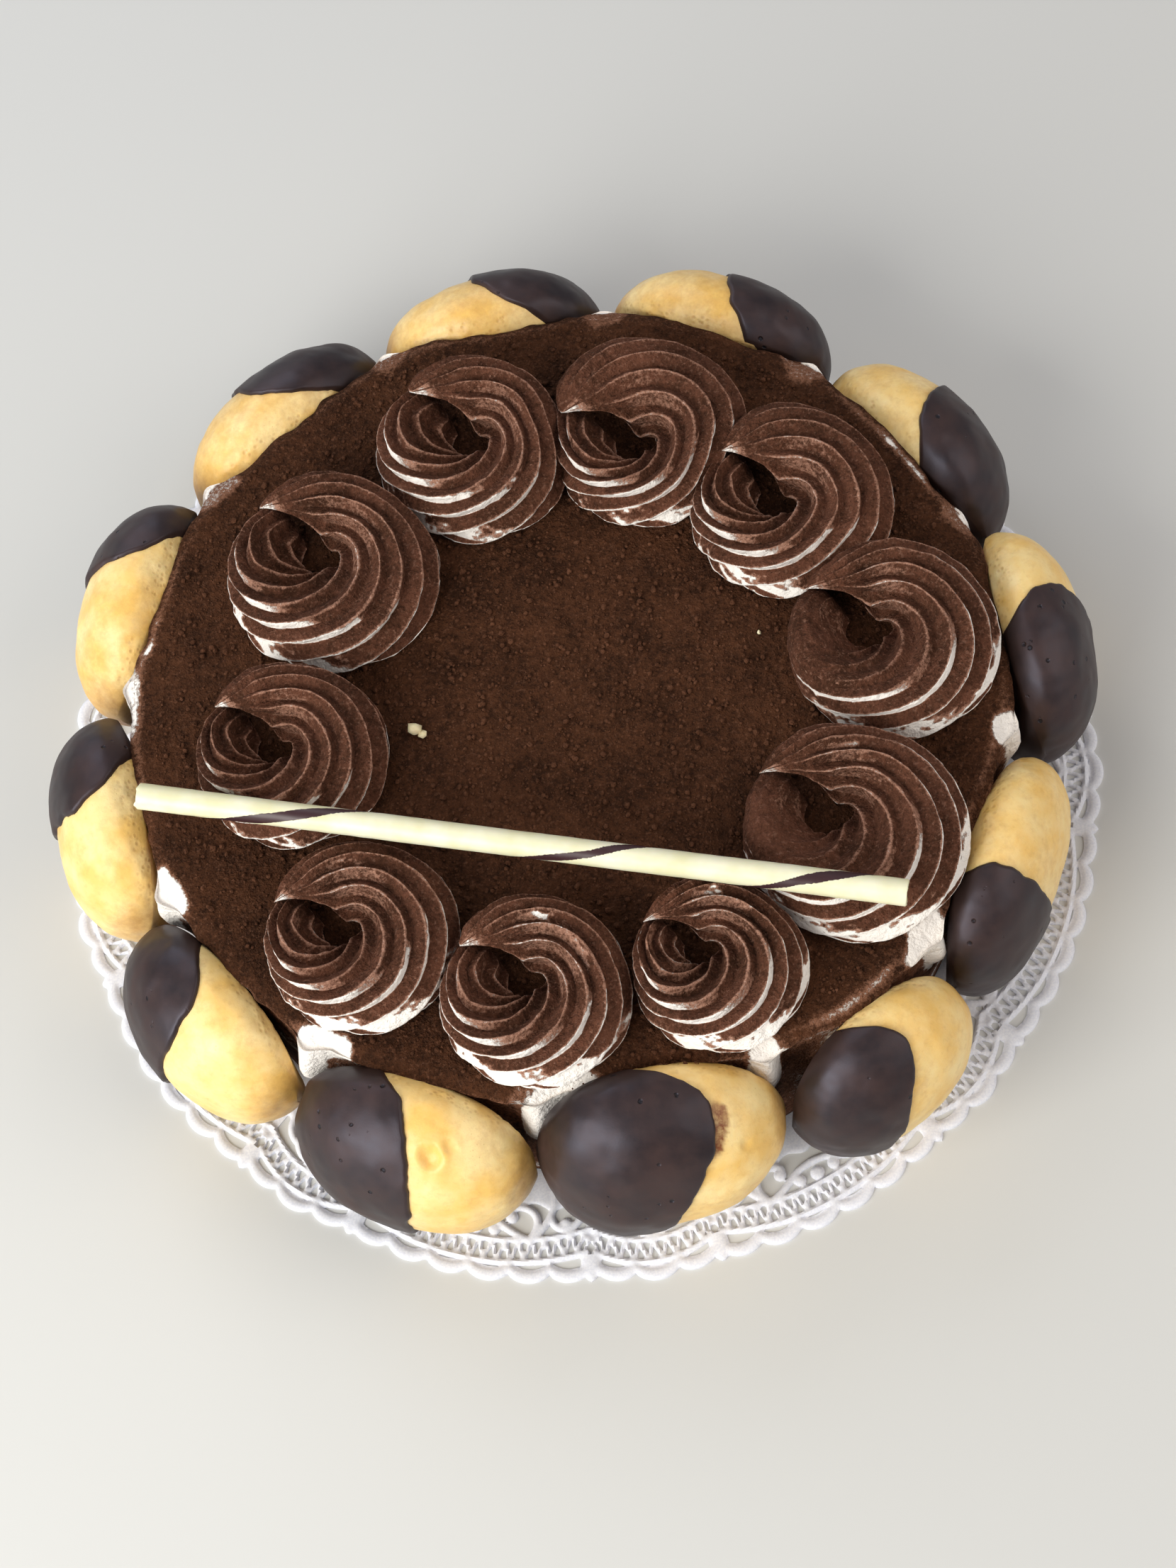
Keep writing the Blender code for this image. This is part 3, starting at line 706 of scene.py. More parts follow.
@dataclass
class LaceDoily:
    """Round embossed lace paper: nine repeats of a narrow and a wide swag, with a lancet between swags.

    The paper is where a field of radius and azimuth is positive. Its outline is traced across the
    grid's cells, so that every stroke and opening of the lace is a clean edge of the mesh.
    """

    radius: float = 151.5 * MM
    sectors: int = 9
    turn_deg: float = -49.9
    narrow_deg: float = 13.8
    narrow_scallops: int = 3
    wide_scallops: int = 6
    scallop_depth: float = 2.7 * MM
    narrow_bulge: float = 2.6 * MM
    wide_bulge: float = 1.6 * MM
    crescent: float = 3.3 * MM
    band_radius: float = 143.2 * MM
    band_dip: float = 4.4 * MM
    band_half: float = 3.0 * MM
    lens_border: float = 0.35 * MM
    line_half: float = 0.75 * MM
    tooth_half: float = 0.50 * MM
    tooth_pitch: float = 3.7 * MM
    disc_radius: float = 130.0 * MM
    disc_wave: float = 0.8 * MM
    scroll_half: float = 1.0 * MM
    lancet_half: float = 2.8 * MM
    lancet_length: float = 12.4 * MM
    lancet_trim: float = 0.1 * MM
    lancet_inset: float = 1.2 * MM
    stem_half: float = 1.1 * MM
    # The diamond hole in each lancet: how far out it is, half its length and half its width.
    hole_inset: float = 3.2 * MM
    hole_long: float = 1.7 * MM
    hole_wide: float = 1.25 * MM
    hole_fall: float = 0.7 * MM
    # The other strokes are drawn a little slimmer this near to the middle of a lancet.
    slim_reach: float = 3.3 * MM
    slim_depth: float = 0.2 * MM
    inner_radius: float = 118.0 * MM
    lace_radius: float = 128.5 * MM
    base_height: float = 0.45 * MM
    relief: float = 0.85 * MM
    # The nearest that the field comes to zero at a grid point, and a crossing to the end of its edge.
    least_field: float = 0.001 * MM
    least_share: float = 0.02
    plain_rows: int = 1
    rows: int = 40
    columns: int = 129
    # The strokes of half a swag as (distance from the swag's middle, radius) in millimetres.
    wide_strokes: tuple = (
        ((-0.5, 134.0), (4.3, 134.5), (7.2, 136.3), (10.3, 138.0), (14.0, 139.4)),
        ((14.4, 139.2), (15.9, 136.2), (15.9, 133.4), (14.4, 131.4), (12.0, 130.5), (9.6, 130.7),
         (7.8, 132.0), (8.6, 133.6)),
        ((14.6, 139.2), (17.4, 136.0), (19.2, 132.8), (20.2, 129.0)),
        ((19.2, 132.6), (20.4, 135.0), (22.6, 136.2), (24.2, 135.2), (23.6, 134.4)),
        ((24.0, 136.0), (26.4, 134.4), (28.4, 131.0)),
    )
    narrow_strokes: tuple = (
        ((-0.5, 139.8), (2.6, 138.0), (5.4, 137.2), (7.6, 135.2), (6.8, 132.9), (4.6, 132.1),
         (3.0, 133.6)),
        ((7.2, 135.4), (9.6, 134.8), (11.8, 132.8), (13.0, 129.5)),
    )
    # Round knobs on the strokes: (distance from the swag's middle, radius, half their width).
    wide_knobs: tuple = ((0.0, 137.6, 1.9), (4.9, 137.4, 1.6), (9.0, 133.6, 1.7), (23.4, 134.4, 1.6))
    narrow_knobs: tuple = ((0.0, 134.2, 1.8), (3.6, 134.0, 1.5))

    def swag_share(self, azimuth: np.ndarray) -> tuple[np.ndarray, np.ndarray]:
        """Where a sector's azimuths lie in their swags.

        Args:
            azimuth: Degrees from the start of the narrow swag, 0 to 40.

        Returns:
            The share from 0 to 1 along the swag, and whether it is the narrow one.
        """
        wide = 360 / self.sectors - self.narrow_deg
        narrow = azimuth < self.narrow_deg
        share = np.where(narrow, azimuth / self.narrow_deg, (azimuth - self.narrow_deg) / wide)
        return share, narrow

    @staticmethod
    def curved(stroke: tuple) -> np.ndarray:
        """A stroke that runs in curves: each corner is cut twice, at a quarter and at three quarters.

        Args:
            stroke: Its points.

        Returns:
            The points of the curve, from the same start to the same end.
        """
        line = np.array(stroke)
        for _ in range(2):
            early = 0.75 * line[:-1] + 0.25 * line[1:]
            late = 0.25 * line[:-1] + 0.75 * line[1:]
            cut = np.stack([early, late], axis=1).reshape(-1, 2)
            line = np.concatenate([line[:1], cut, line[-1:]])
        return line

    def scrollwork(self, azimuth: np.ndarray, radius: np.ndarray) -> np.ndarray:
        """The scrolls and knobs inside each swag, each drawn twice as mirror images about its middle.

        Args:
            azimuth: Degrees from the start of the narrow swag.
            radius: Distance from the middle.

        Returns:
            Depth inside the scrollwork: half its width less the distance to the nearest stroke or knob.
        """
        wide = 360 / self.sectors - self.narrow_deg
        scale = math.radians(1) * self.disc_radius
        flat = np.stack([azimuth.ravel() * scale, radius.ravel()], axis=-1)
        depth = np.full(len(flat), -1.0)
        for middle_deg, strokes, knobs in (
                (self.narrow_deg / 2, self.narrow_strokes, self.narrow_knobs),
                (self.narrow_deg + wide / 2, self.wide_strokes, self.wide_knobs)):
            middle = np.array([middle_deg * scale, 0.0])
            for side in (-1, 1):
                to_metres = np.array([side * MM, MM])
                for stroke in strokes:
                    line = middle + self.curved(stroke) * to_metres
                    starts, run = line[:-1], np.diff(line, axis=0)
                    share = ((flat[:, None] - starts) * run).sum(axis=-1) / (run * run).sum(axis=-1)
                    nearest = starts + np.clip(share, 0, 1)[..., None] * run
                    apart = np.linalg.norm(flat[:, None] - nearest, axis=-1).min(axis=1)
                    depth = np.maximum(depth, self.scroll_half - apart)
                for aside, out, half in knobs:
                    apart = np.linalg.norm(flat - middle - (aside, out) * to_metres, axis=-1)
                    depth = np.maximum(depth, half * MM - apart)
        return depth.reshape(azimuth.shape)

    def band(self, offset: np.ndarray, share: np.ndarray, length_deg: np.ndarray) -> tuple[np.ndarray, ...]:
        """The band under the scallops: two lines with a zigzag between them.

        Args:
            offset: Distance outwards from the band's middle.
            share: Place along the swag, from 0 to 1.
            length_deg: The swag's length.

        Returns:
            Depth inside the lines and depth inside the zigzag.
        """
        lines = self.line_half - np.abs(np.abs(offset) - self.band_half)
        teeth = np.round(length_deg * math.radians(1) * self.band_radius / self.tooth_pitch)
        wave = 4 * np.abs((share * teeth) % 1 - 0.5) - 1
        slope = 4 * self.band_half / self.tooth_pitch
        zigzag = self.tooth_half - np.abs(offset - wave * self.band_half) / math.hypot(1, slope)
        return lines, np.minimum(zigzag, self.band_half - np.abs(offset))

    def lancet(self, aside: np.ndarray, radius: np.ndarray) -> tuple[np.ndarray, ...]:
        """The pointed leaf between two swags, with its stem and the diamond hole at its foot.

        Half the leaf's width goes by sin(pi * rise^1.25)^0.6, as rise runs from 0 at its foot to 1 at
        its tip.

        Args:
            aside: Distance from the line between the swags.
            radius: Distance from the middle.

        Returns:
            Depth inside the leaf, depth inside the stem, and the hole, from 1 at its middle to 0 at
            its edge.
        """
        tip = self.radius - self.lancet_inset
        rise = np.clip((radius - tip + self.lancet_length) / self.lancet_length, 0, 1)
        leaf = self.lancet_half * np.sin(np.pi * rise ** 1.25) ** 0.6 - aside - self.lancet_trim
        stem = np.minimum(self.stem_half - aside, tip - self.lancet_length / 2 - radius)
        hole_radius = tip - self.lancet_length + self.hole_inset
        hole = 1 - np.abs(radius - hole_radius) / self.hole_long - aside / self.hole_wide
        return leaf, stem, hole

    def fields(self, azimuth: np.ndarray, radius: np.ndarray) -> tuple[np.ndarray, np.ndarray]:
        """The lace of one sector.

        Args:
            azimuth: Degrees from the start of the narrow swag.
            radius: Distance from the middle.

        Returns:
            A field that is positive on paper, close to the distance from its edge, and the height of
            the embossing from 0 to 1.
        """
        share, narrow = self.swag_share(azimuth)
        bow = 1 - (2 * share - 1) ** 2
        scallops = np.where(narrow, self.narrow_scallops, self.wide_scallops)
        arc = np.abs(np.sin(np.pi * scallops * share))
        bulge = np.where(narrow, self.narrow_bulge, self.wide_bulge)
        foot = self.radius - self.scallop_depth - bulge
        edge = foot + bulge * bow + self.scallop_depth * arc ** 0.55 - radius
        offset = radius - (self.band_radius - self.band_dip * (1 - bow))
        length_deg = np.where(narrow, self.narrow_deg, 360 / self.sectors - self.narrow_deg)
        lines, zigzag = self.band(offset, share, length_deg)
        petals = np.minimum(offset - self.band_half, edge)
        # A thin lens is cut between each scallop's thick crescent and the band.
        lens = np.minimum(offset - self.band_half - self.line_half, edge - self.crescent)
        petals = np.minimum(petals, self.lens_border - lens)
        disc = self.disc_radius + self.disc_wave * np.cos(2 * np.pi * share * scallops) - radius
        scroll = self.scrollwork(azimuth, radius)
        scroll = np.minimum(scroll, -offset - self.band_half + 2 * self.line_half)
        aside = np.minimum(share, 1 - share) * length_deg * math.radians(1) * radius
        leaf, stem, hole = self.lancet(aside, radius)
        paper = np.maximum.reduce([disc, scroll, lines, zigzag, petals, stem])
        paper = np.minimum(paper, edge)
        paper = np.where(aside < self.slim_reach, np.minimum(paper, self.slim_depth), paper)
        paper = np.minimum(np.maximum(paper, leaf), -hole * self.hole_fall)

        def rounded(distance: np.ndarray, width: float) -> np.ndarray:
            """Height of a round-topped stroke, sqrt(2d - d^2) of its depth d inside the edge."""
            depth = np.clip(distance / width, 0, 1)
            return np.sqrt(depth * (2 - depth))

        across = np.clip(1 - np.abs(2 * edge / self.crescent - 1) ** 2.4, 0, 1)
        rim = np.sqrt(across) * (offset > self.band_half)
        emboss = np.maximum.reduce([
            rim, rounded(scroll, self.scroll_half), rounded(lines, self.line_half),
            0.8 * rounded(zigzag, self.line_half), rounded(leaf, self.lancet_half * 0.9),
            0.5 * rounded(disc, 1.5 * MM) * ease_between(disc, 6 * MM, 2 * MM),
        ])
        return paper, emboss

    def grid(self) -> tuple[np.ndarray, np.ndarray]:
        """The sheet's rings and spokes: one sector's lace, repeated all round.

        Returns:
            The top's points, rings x spokes x 3, and the lace's field at each.
        """
        ring = np.concatenate([
            np.linspace(self.inner_radius, self.lace_radius, self.plain_rows + 1)[:-1],
            np.linspace(self.lace_radius, self.radius + 0.6 * MM, self.rows)])
        spoke = np.arange(self.columns) / self.columns * 360 / self.sectors
        azimuth, radius = np.meshgrid(spoke, ring)
        paper, emboss = self.fields(azimuth, radius)
        # The innermost ring is all paper, and the outermost all off it.
        paper[0], paper[-1] = 1.0, -0.1 * MM
        paper = np.where(np.abs(paper) < self.least_field, self.least_field, paper)
        paper, emboss, radius = (np.tile(values, self.sectors) for values in (paper, emboss, radius))
        total = self.columns * self.sectors
        turn = np.radians(np.arange(total) / total * 360 + self.turn_deg - self.narrow_deg / 2)
        top = np.stack([radius * np.cos(turn), radius * np.sin(turn),
                        self.base_height + self.relief * emboss], axis=-1)
        return top, paper

    def crossing(self, start: np.ndarray, start_field: np.ndarray, end: np.ndarray,
                 end_field: np.ndarray) -> np.ndarray:
        """The point of each grid edge at which the field is zero, by straight interpolation.

        Args:
            start: The edges' first points.
            start_field: The field there.
            end: Their last points.
            end_field: The field there.

        Returns:
            A point for each edge, at the height of plain paper.
        """
        share = start_field / np.where(start_field == end_field, 1.0, start_field - end_field)
        share = np.clip(share, self.least_share, 1 - self.least_share)[..., None]
        spot = start * (1 - share) + end * share
        spot[..., 2] = self.base_height
        return spot

    def mesh(self) -> tuple[np.ndarray, list[np.ndarray]]:
        """The lace as one closed sheet: marching squares over rings and spokes.

        A cell's outline takes its corners on paper and, between a corner on paper and one off it, the
        point where the field crosses zero. The top is raised by the embossing, the underside is flat,
        and walls join them along the lace's edges.

        Returns:
            Points and faces.
        """
        corners, paper = self.grid()
        inside = paper > 0
        beside = self.crossing(corners, paper, next_column(corners), next_column(paper))
        outward = self.crossing(corners, paper, next_row(corners), next_row(paper))
        number = np.arange(inside.size).reshape(inside.shape)
        along, out = number + number.size, number + 2 * number.size
        # A cell's places in turn round it: each corner, then the crossing on the edge that follows it.
        places = np.stack([number, out, next_row(number), next_row(along), next_row(next_column(number)),
                           next_column(out), next_column(number), along], axis=-1)[:-1]
        kinds = inside + 2 * next_row(inside) + 4 * next_row(next_column(inside)) + 8 * next_column(inside)
        kinds = kinds[:-1]
        tops, walls = [], []
        for kind in range(1, 16):
            chain = []
            for corner in range(4):
                here, after = kind >> corner & 1, kind >> (corner + 1) % 4 & 1
                chain += [2 * corner] * here + [2 * corner + 1] * (here != after)
            cells = places[kinds == kind]
            tops.append(cells[:, chain])
            for first, second in zip(chain, chain[1:] + chain[:1]):
                if first % 2 and second % 2:
                    walls.append(cells[:, [first, second]])
        points = np.concatenate([corners.reshape(-1, 3), beside.reshape(-1, 3), outward.reshape(-1, 3)])
        below = len(points)
        faces = [group for top in tops if len(top) for group in (top, top[:, ::-1] + below)]
        first, second = np.concatenate(walls).T
        faces.append(np.stack([second, first, first + below, second + below], axis=-1))
        # The plain disc inside the rings is a fan from its middle, above and below.
        middle = 2 * below
        inner, after = number[0], np.roll(number[0], -1)
        faces.append(np.stack([np.full(len(inner), middle), inner, after], axis=-1))
        faces.append(np.stack([np.full(len(inner), middle + 1), after + below, inner + below], axis=-1))
        points = np.concatenate([points, points * (1, 1, 0), [(0, 0, self.base_height), (0, 0, 0)]])
        used = np.unique(np.concatenate([group.ravel() for group in faces]))
        renumber = np.zeros(len(points), dtype=np.int64)
        renumber[used] = np.arange(len(used))
        return points[used], [renumber[group] for group in faces]

    def build(self, finish: LacePaper) -> bpy.types.Object:
        """Makes and dresses the doily."""
        points, faces = self.mesh()
        return place(make_mesh("lace_doily", points, faces, {}, 50.0), finish.build(), Slot.PAPER, "doily")


@dataclass(frozen=True)
class PressedCream:
    """Cream that is pressed out between two drops, with a smear of it on the rim behind.

    It stands out_mm beyond the cake's side at azimuth_deg, most at level_mm above the table. The smear
    has its own azimuth, half its width, how far it reaches inwards, and its strength from 0 to 1.
    """

    azimuth_deg: float
    out_mm: float
    level_mm: float
    smear_deg: float
    smear_half_deg: float
    inward_mm: float
    strength: float


PRESSED_CREAM = (
    PressedCream(139.5, 3.0, 50.0, 139.0, 4.0, 1.5, 0.60),
    PressedCream(170.5, 3.6, 51.0, 172.0, 6.0, 0.8, 0.75),
    PressedCream(200.2, 5.8, 46.0, 200.5, 4.0, 0.6, 0.85),
    PressedCream(228.0, 6.8, 43.5, 230.0, 4.8, 1.6, 1.00),
    PressedCream(258.0, 5.4, 42.0, 261.5, 5.8, 1.6, 1.00),
    PressedCream(287.8, 5.0, 44.0, 288.5, 2.7, 2.0, 0.85),
    PressedCream(315.0, 5.2, 44.5, 313.5, 4.2, 1.0, 0.95),
    PressedCream(345.2, 4.8, 46.0, 345.0, 3.0, 0.8, 0.85),
    PressedCream(376.0, 2.6, 48.0, 376.0, 3.5, 2.0, 0.50),
    PressedCream(406.5, 2.4, 48.0, 408.0, 4.0, 2.0, 0.50),
    PressedCream(437.0, 2.2, 48.0, 437.0, 3.5, 2.0, 0.45),
    PressedCream(468.0, 2.4, 48.0, 468.0, 3.5, 2.0, 0.50),
)


@dataclass
class CreamCake:
    """The cream-covered cake: a low cylinder whose sides follow the backs of the drops."""

    limit: float = 122.5 * MM
    corner: float = 2.5 * MM
    rim_round: float = 3.0 * MM
    columns: int = 660
    top_rows: int = 84
    rim_rows: int = 9
    side_rows: int = 22
    swell: float = 0.45 * MM
    ripple: float = 0.18 * MM
    rim_crest: float = 0.5 * MM
    lip: float = 2.2 * MM
    # Thin lines of bare cream along the rim: middle azimuth, half the width in degrees, and strength.
    rim_lines: tuple[tuple[float, float, float], ...] = (
        (166.0, 18.0, 0.70), (28.0, 14.0, 0.8), (100.0, 30.0, 0.3), (-20.0, 16.0, 0.4), (-58.0, 9.0, 0.8))
    squeezed_deg: float = 1.9
    squeezed_height: float = 13.0 * MM
    smear_fall: float = 2.6 * MM

    def edge_radius(self, azimuth: np.ndarray, height: np.ndarray) -> np.ndarray:
        """The side's radius: the distance to the nearest drop's flat back, up to a limit in the gaps.

        The corners are rounded by a soft minimum, -c log(sum of exp(-r / c)).

        Args:
            azimuth: In degrees.
            height: Above the table.

        Returns:
            The distance from the cake's axis.
        """
        weight = np.exp(-self.limit / self.corner) * np.ones(np.broadcast(azimuth, height).shape)
        for drop in DROPS:
            facing = np.cos(np.radians(azimuth - drop.azimuth_deg))
            seat = drop.seat - (height - PAPER_TOP) * math.tan(math.radians(drop.lean_deg))
            back = seat / np.where(facing > 0.1, facing, 1.0)
            weight += np.where(facing > 0.1, np.exp(-back / self.corner), 0)
        return -self.corner * np.log(weight)

    def profile(self) -> np.ndarray:
        """The section that is swept round: out over the top, round the rim, down the side and under.

        Returns:
            Three columns of numbers, one for each row of the grid: its share of the way out, how far
            it is set in from the side, and its height.
        """
        foot = PAPER_TOP + FIT_GAP
        rows = [(share, self.rim_round, CAKE_TOP) for share in np.linspace(0.012, 1, self.top_rows)]
        for turn in np.linspace(0, math.pi / 2, self.rim_rows)[1:]:
            rows.append((1.0, self.rim_round * (1 - math.sin(turn)),
                         CAKE_TOP - self.rim_round * (1 - math.cos(turn))))
        side = np.linspace(CAKE_TOP - self.rim_round, foot, self.side_rows)[1:]
        rows += [(1.0, 0.0, level) for level in side]
        rows += [(share, 0.0, foot) for share in (0.7, 0.35, 0.05)]
        return np.array(rows).T[..., None]

    def pressed(self, azimuth: np.ndarray, height: np.ndarray, depth: np.ndarray,
                ragged: np.ndarray) -> tuple[np.ndarray, ...]:
        """The cream that is pressed out between the drops, and its smears on the rim.

        Args:
            azimuth: Each column's, in degrees.
            height: Each row's.
            depth: How far each point is inside the cake's side.
            ragged: Noise for the smears' edges.

        Returns:
            How far each point stands out, how far the rim sinks there, and how bare it is.
        """
        out, fall, bare = np.zeros((3, *depth.shape))
        on_side = self.on_side(height)
        upper = ease_between(height, CAKE_TOP - 16 * MM, CAKE_TOP - 5 * MM)
        for cream in PRESSED_CREAM:
            pressed = hump(angle_from(azimuth, cream.azimuth_deg % 360), 0, self.squeezed_deg)
            pressed = pressed * hump(height, cream.level_mm * MM, self.squeezed_height)
            out += cream.out_mm * MM * pressed * on_side
            bare = np.maximum(bare, ease_between(pressed * on_side, 0.12, 0.4))
            beside = angle_from(azimuth, cream.smear_deg % 360) / cream.smear_half_deg
            inward = hump(depth, 0, cream.inward_mm * MM + self.rim_round)
            spot = hump(beside, 0, 1) * inward * upper
            smear = ease_between(spot + 0.26 * ragged, 0.26, 0.62)
            bare = np.maximum(bare, cream.strength * smear)
            fall = np.maximum(fall, self.smear_fall * cream.strength * hump(beside, 0, 1.1) * inward)
        return out, fall, bare

    def on_side(self, height: np.ndarray) -> np.ndarray:
        """1 on the cake's side, and 0 on its top and underneath."""
        above_foot = height > PAPER_TOP + FIT_GAP
        return ease_between(height, CAKE_TOP - 0.2 * self.rim_round, CAKE_TOP - self.rim_round) * above_foot

    def build(self, finish: DustedCream) -> bpy.types.Object:
        """Makes and dresses the cake.

        Args:
            finish: Its finish.

        Returns:
            The piece.
        """
        azimuth = np.arange(self.columns) / self.columns * 360
        turn = np.radians(azimuth)
        share, inset, height = self.profile()
        edge = self.edge_radius(azimuth[None], height)
        radius = (edge - inset) * share
        spread = np.stack([radius * np.cos(turn), radius * np.sin(turn),
                           np.broadcast_to(height, radius.shape)], axis=-1)
        on_side = self.on_side(height)
        ragged = noise(spread, 6 * MM, 3, 3)
        out, fall, bare = self.pressed(azimuth, height, np.maximum(edge - radius, 0), ragged)
        out += on_side * 0.5 * MM * ragged
        # The cream's top edge is pressed a little way over the drops.
        lip = hump(height, CAKE_TOP - 0.6 * self.rim_round, 2.6 * MM) * (height > PAPER_TOP + FIT_GAP)
        lip = lip * ease_between(share, 0.93, 1.0)
        out += self.lip * lip * (0.75 + 0.6 * noise(spread * (1, 1, 0), 11 * MM, 6, 3))
        top = (height > CAKE_TOP - self.rim_round) * 1.0
        lift = self.swell * noise(spread, 34 * MM, 1, 2) + self.ripple * noise(spread, 6 * MM, 2, 3)
        lift = lift * top * ease_between(share, 1.001, 0.9)
        near_rim = hump(edge - radius, self.rim_round * 1.2, 1.8 * MM) * top
        lift += self.rim_crest * near_rim * (0.7 + 0.5 * noise(spread, 14 * MM, 5, 2))
        lift -= fall * top
        line = hump(edge - radius, self.rim_round * 0.7, 1.1 * MM) * top
        line = line * (0.85 + 0.5 * noise(spread, 5 * MM, 7, 2))
        for middle, width, strength in self.rim_lines:
            bare = np.maximum(bare, strength * hump(angle_from(azimuth, middle % 360), 0, width) * line)
        side_bare = on_side * (0.35 + 0.4 * noise(spread, 9 * MM, 8, 3))
        bare = np.clip(np.maximum(bare, side_bare), 0, 1)
        # Where the cream is quite bare, no speck of powder is left on it.
        bare = bare + 0.3 * ease_between(bare, 0.6, 0.9)
        spread[..., 0] += out * np.cos(turn)
        spread[..., 1] += out * np.sin(turn)
        spread[..., 2] += lift
        points, faces = closed_skin(spread)
        piece = make_mesh("cream_body", points, faces, {"bare": skin_paint(bare)})
        return place(piece, finish.build(), Slot.CREAM, "cream_cake")


@dataclass
class DropForm:
    """The forms of one sponge drop and its chocolate, as functions of share and wrap.

    Share runs from the dipped end to the bare one and wrap runs round it, 90 at its top, 0 at its
    front and -90 at its foot. Each cross-section is a half ellipse with a rounded back edge.
    """

    drop: Drop
    seed: int
    back_gap: float = 0.5 * MM
    back_round: float = 8.0 * MM
    wrap_deg: float = 125.0
    end_fullness: float = 2.3
    side_fullness: float = 2.1
    foot_lift: float = 1.6 * MM
    coat: float = 1.25 * MM
    lump: float = 0.55 * MM
    dimple: float = 0.22 * MM
    # The bell over which the dip's edge is averaged: how far it reaches either side, and its width.
    bell_reach_deg: float = 45.0
    bell_deg: float = 22.0

    def surface(self, share: np.ndarray, wrap_deg: np.ndarray, grow: np.ndarray | float) -> np.ndarray:
        """Points of the drop, grown by a coat or not.

        Half the height of each cross-section goes by (1 - |2 share - 1|^2.3)^(1 / 2.1).

        Args:
            share: Place from the dipped end to the bare one, from 0 to 1.
            wrap_deg: Angle round the cross-section.
            grow: How far the surface stands out beyond the sponge.

        Returns:
            Points in the drop's own axes: sideways, up and outward.
        """
        drop = self.drop
        along = 2 * share - 1
        scale = np.maximum(1 - np.abs(along) ** self.end_fullness, 0) ** (1 / self.side_fullness)
        wrap = np.radians(wrap_deg)
        half_height = (drop.height / 2 + grow) * (1 - drop.swell * along)
        front = (drop.depth + grow - self.back_round) * np.cos(wrap)
        back = self.back_round * np.cos(wrap) / -math.cos(math.radians(self.wrap_deg))
        sideways = (drop.width / 2 + grow) * along * np.ones_like(wrap)
        up = half_height * scale * np.sin(wrap)
        outward = self.back_round + scale * np.where(np.abs(wrap_deg) <= 90, front, back)
        return np.stack(np.broadcast_arrays(sideways, up, outward), axis=-1)

    def to_world(self, points: np.ndarray) -> np.ndarray:
        """Turns the drop's own points round the cake and leans its back on the cream.

        Args:
            points: In the drop's own axes.

        Returns:
            The points in the scene.
        """
        drop = self.drop
        lean, azimuth = math.radians(drop.lean_deg), math.radians(drop.azimuth_deg)
        sideways, up, deep = np.moveaxis(points, -1, 0)
        up = up + self.foot_lift + drop.height / 2 * (1 + 0.5 * drop.swell)
        outward = drop.seat + self.back_gap + deep * math.cos(lean) - up * math.sin(lean)
        x = outward * math.cos(azimuth) - sideways * math.sin(azimuth)
        y = outward * math.sin(azimuth) + sideways * math.cos(azimuth)
        z = PAPER_TOP + FIT_GAP + up * math.cos(lean) + deep * math.sin(lean)
        return np.stack([x, y, z], axis=-1)

    def wraps(self, count: int) -> np.ndarray:
        """Wrap angles round the crowned front of a cross-section, from its top back edge to its lower."""
        return np.linspace(self.wrap_deg, -self.wrap_deg, count)

    def dip_share(self, wrap_deg: np.ndarray) -> np.ndarray:
        """How much of the width is dipped, read off the drop's table with its corners rounded.

        Args:
            wrap_deg: Angles round the cross-section.

        Returns:
            The dipped share of the width at each angle.
        """
        offsets = np.linspace(-self.bell_reach_deg, self.bell_reach_deg, 13)
        weights = np.exp(-(offsets / self.bell_deg) ** 2)
        spread = np.asarray(wrap_deg, float)[..., None] + offsets
        return np.interp(spread, DIP_WRAPS_DEG, self.drop.dip) @ weights / weights.sum()

    def lumps(self, points: np.ndarray) -> np.ndarray:
        """How far the baked skin stands out: soft lumps and smaller dimples."""
        low = noise(points, 15 * MM, self.seed, 2) * self.lump
        return low + noise(points, 5 * MM, self.seed + 50, 2) * self.dimple

    def outward(self, grid: np.ndarray) -> np.ndarray:
        """The directions in which the drop's small swellings stand out.

        Args:
            grid: Points in the drop's own axes.

        Returns:
            Unit directions away from its middle, turned a little towards its front.
        """
        middle = np.array([0.0, 0.0, self.back_round])
        away = grid - middle
        away[..., 0] *= 0.6
        return away / np.maximum(np.linalg.norm(away, axis=-1, keepdims=True), 1e-9)


@dataclass(frozen=True)
class Crater:
    """A burst bubble in a drop's skin: which drop it is on, where, how deep and how wide."""

    drop: int
    share: float
    wrap_deg: float
    depth_mm: float
    size_mm: float


CRATERS = (
    Crater(2, 0.70, 35.0, 0.5, 1.8),
    Crater(4, 0.66, 15.0, 0.6, 1.6),
    Crater(5, 0.64, 60.0, 1.7, 3.0),
    Crater(5, 0.70, 70.0, 0.6, 2.0),
    Crater(6, 0.80, 40.0, 0.4, 1.6),
    Crater(8, 0.66, 30.0, 0.5, 1.6),
)


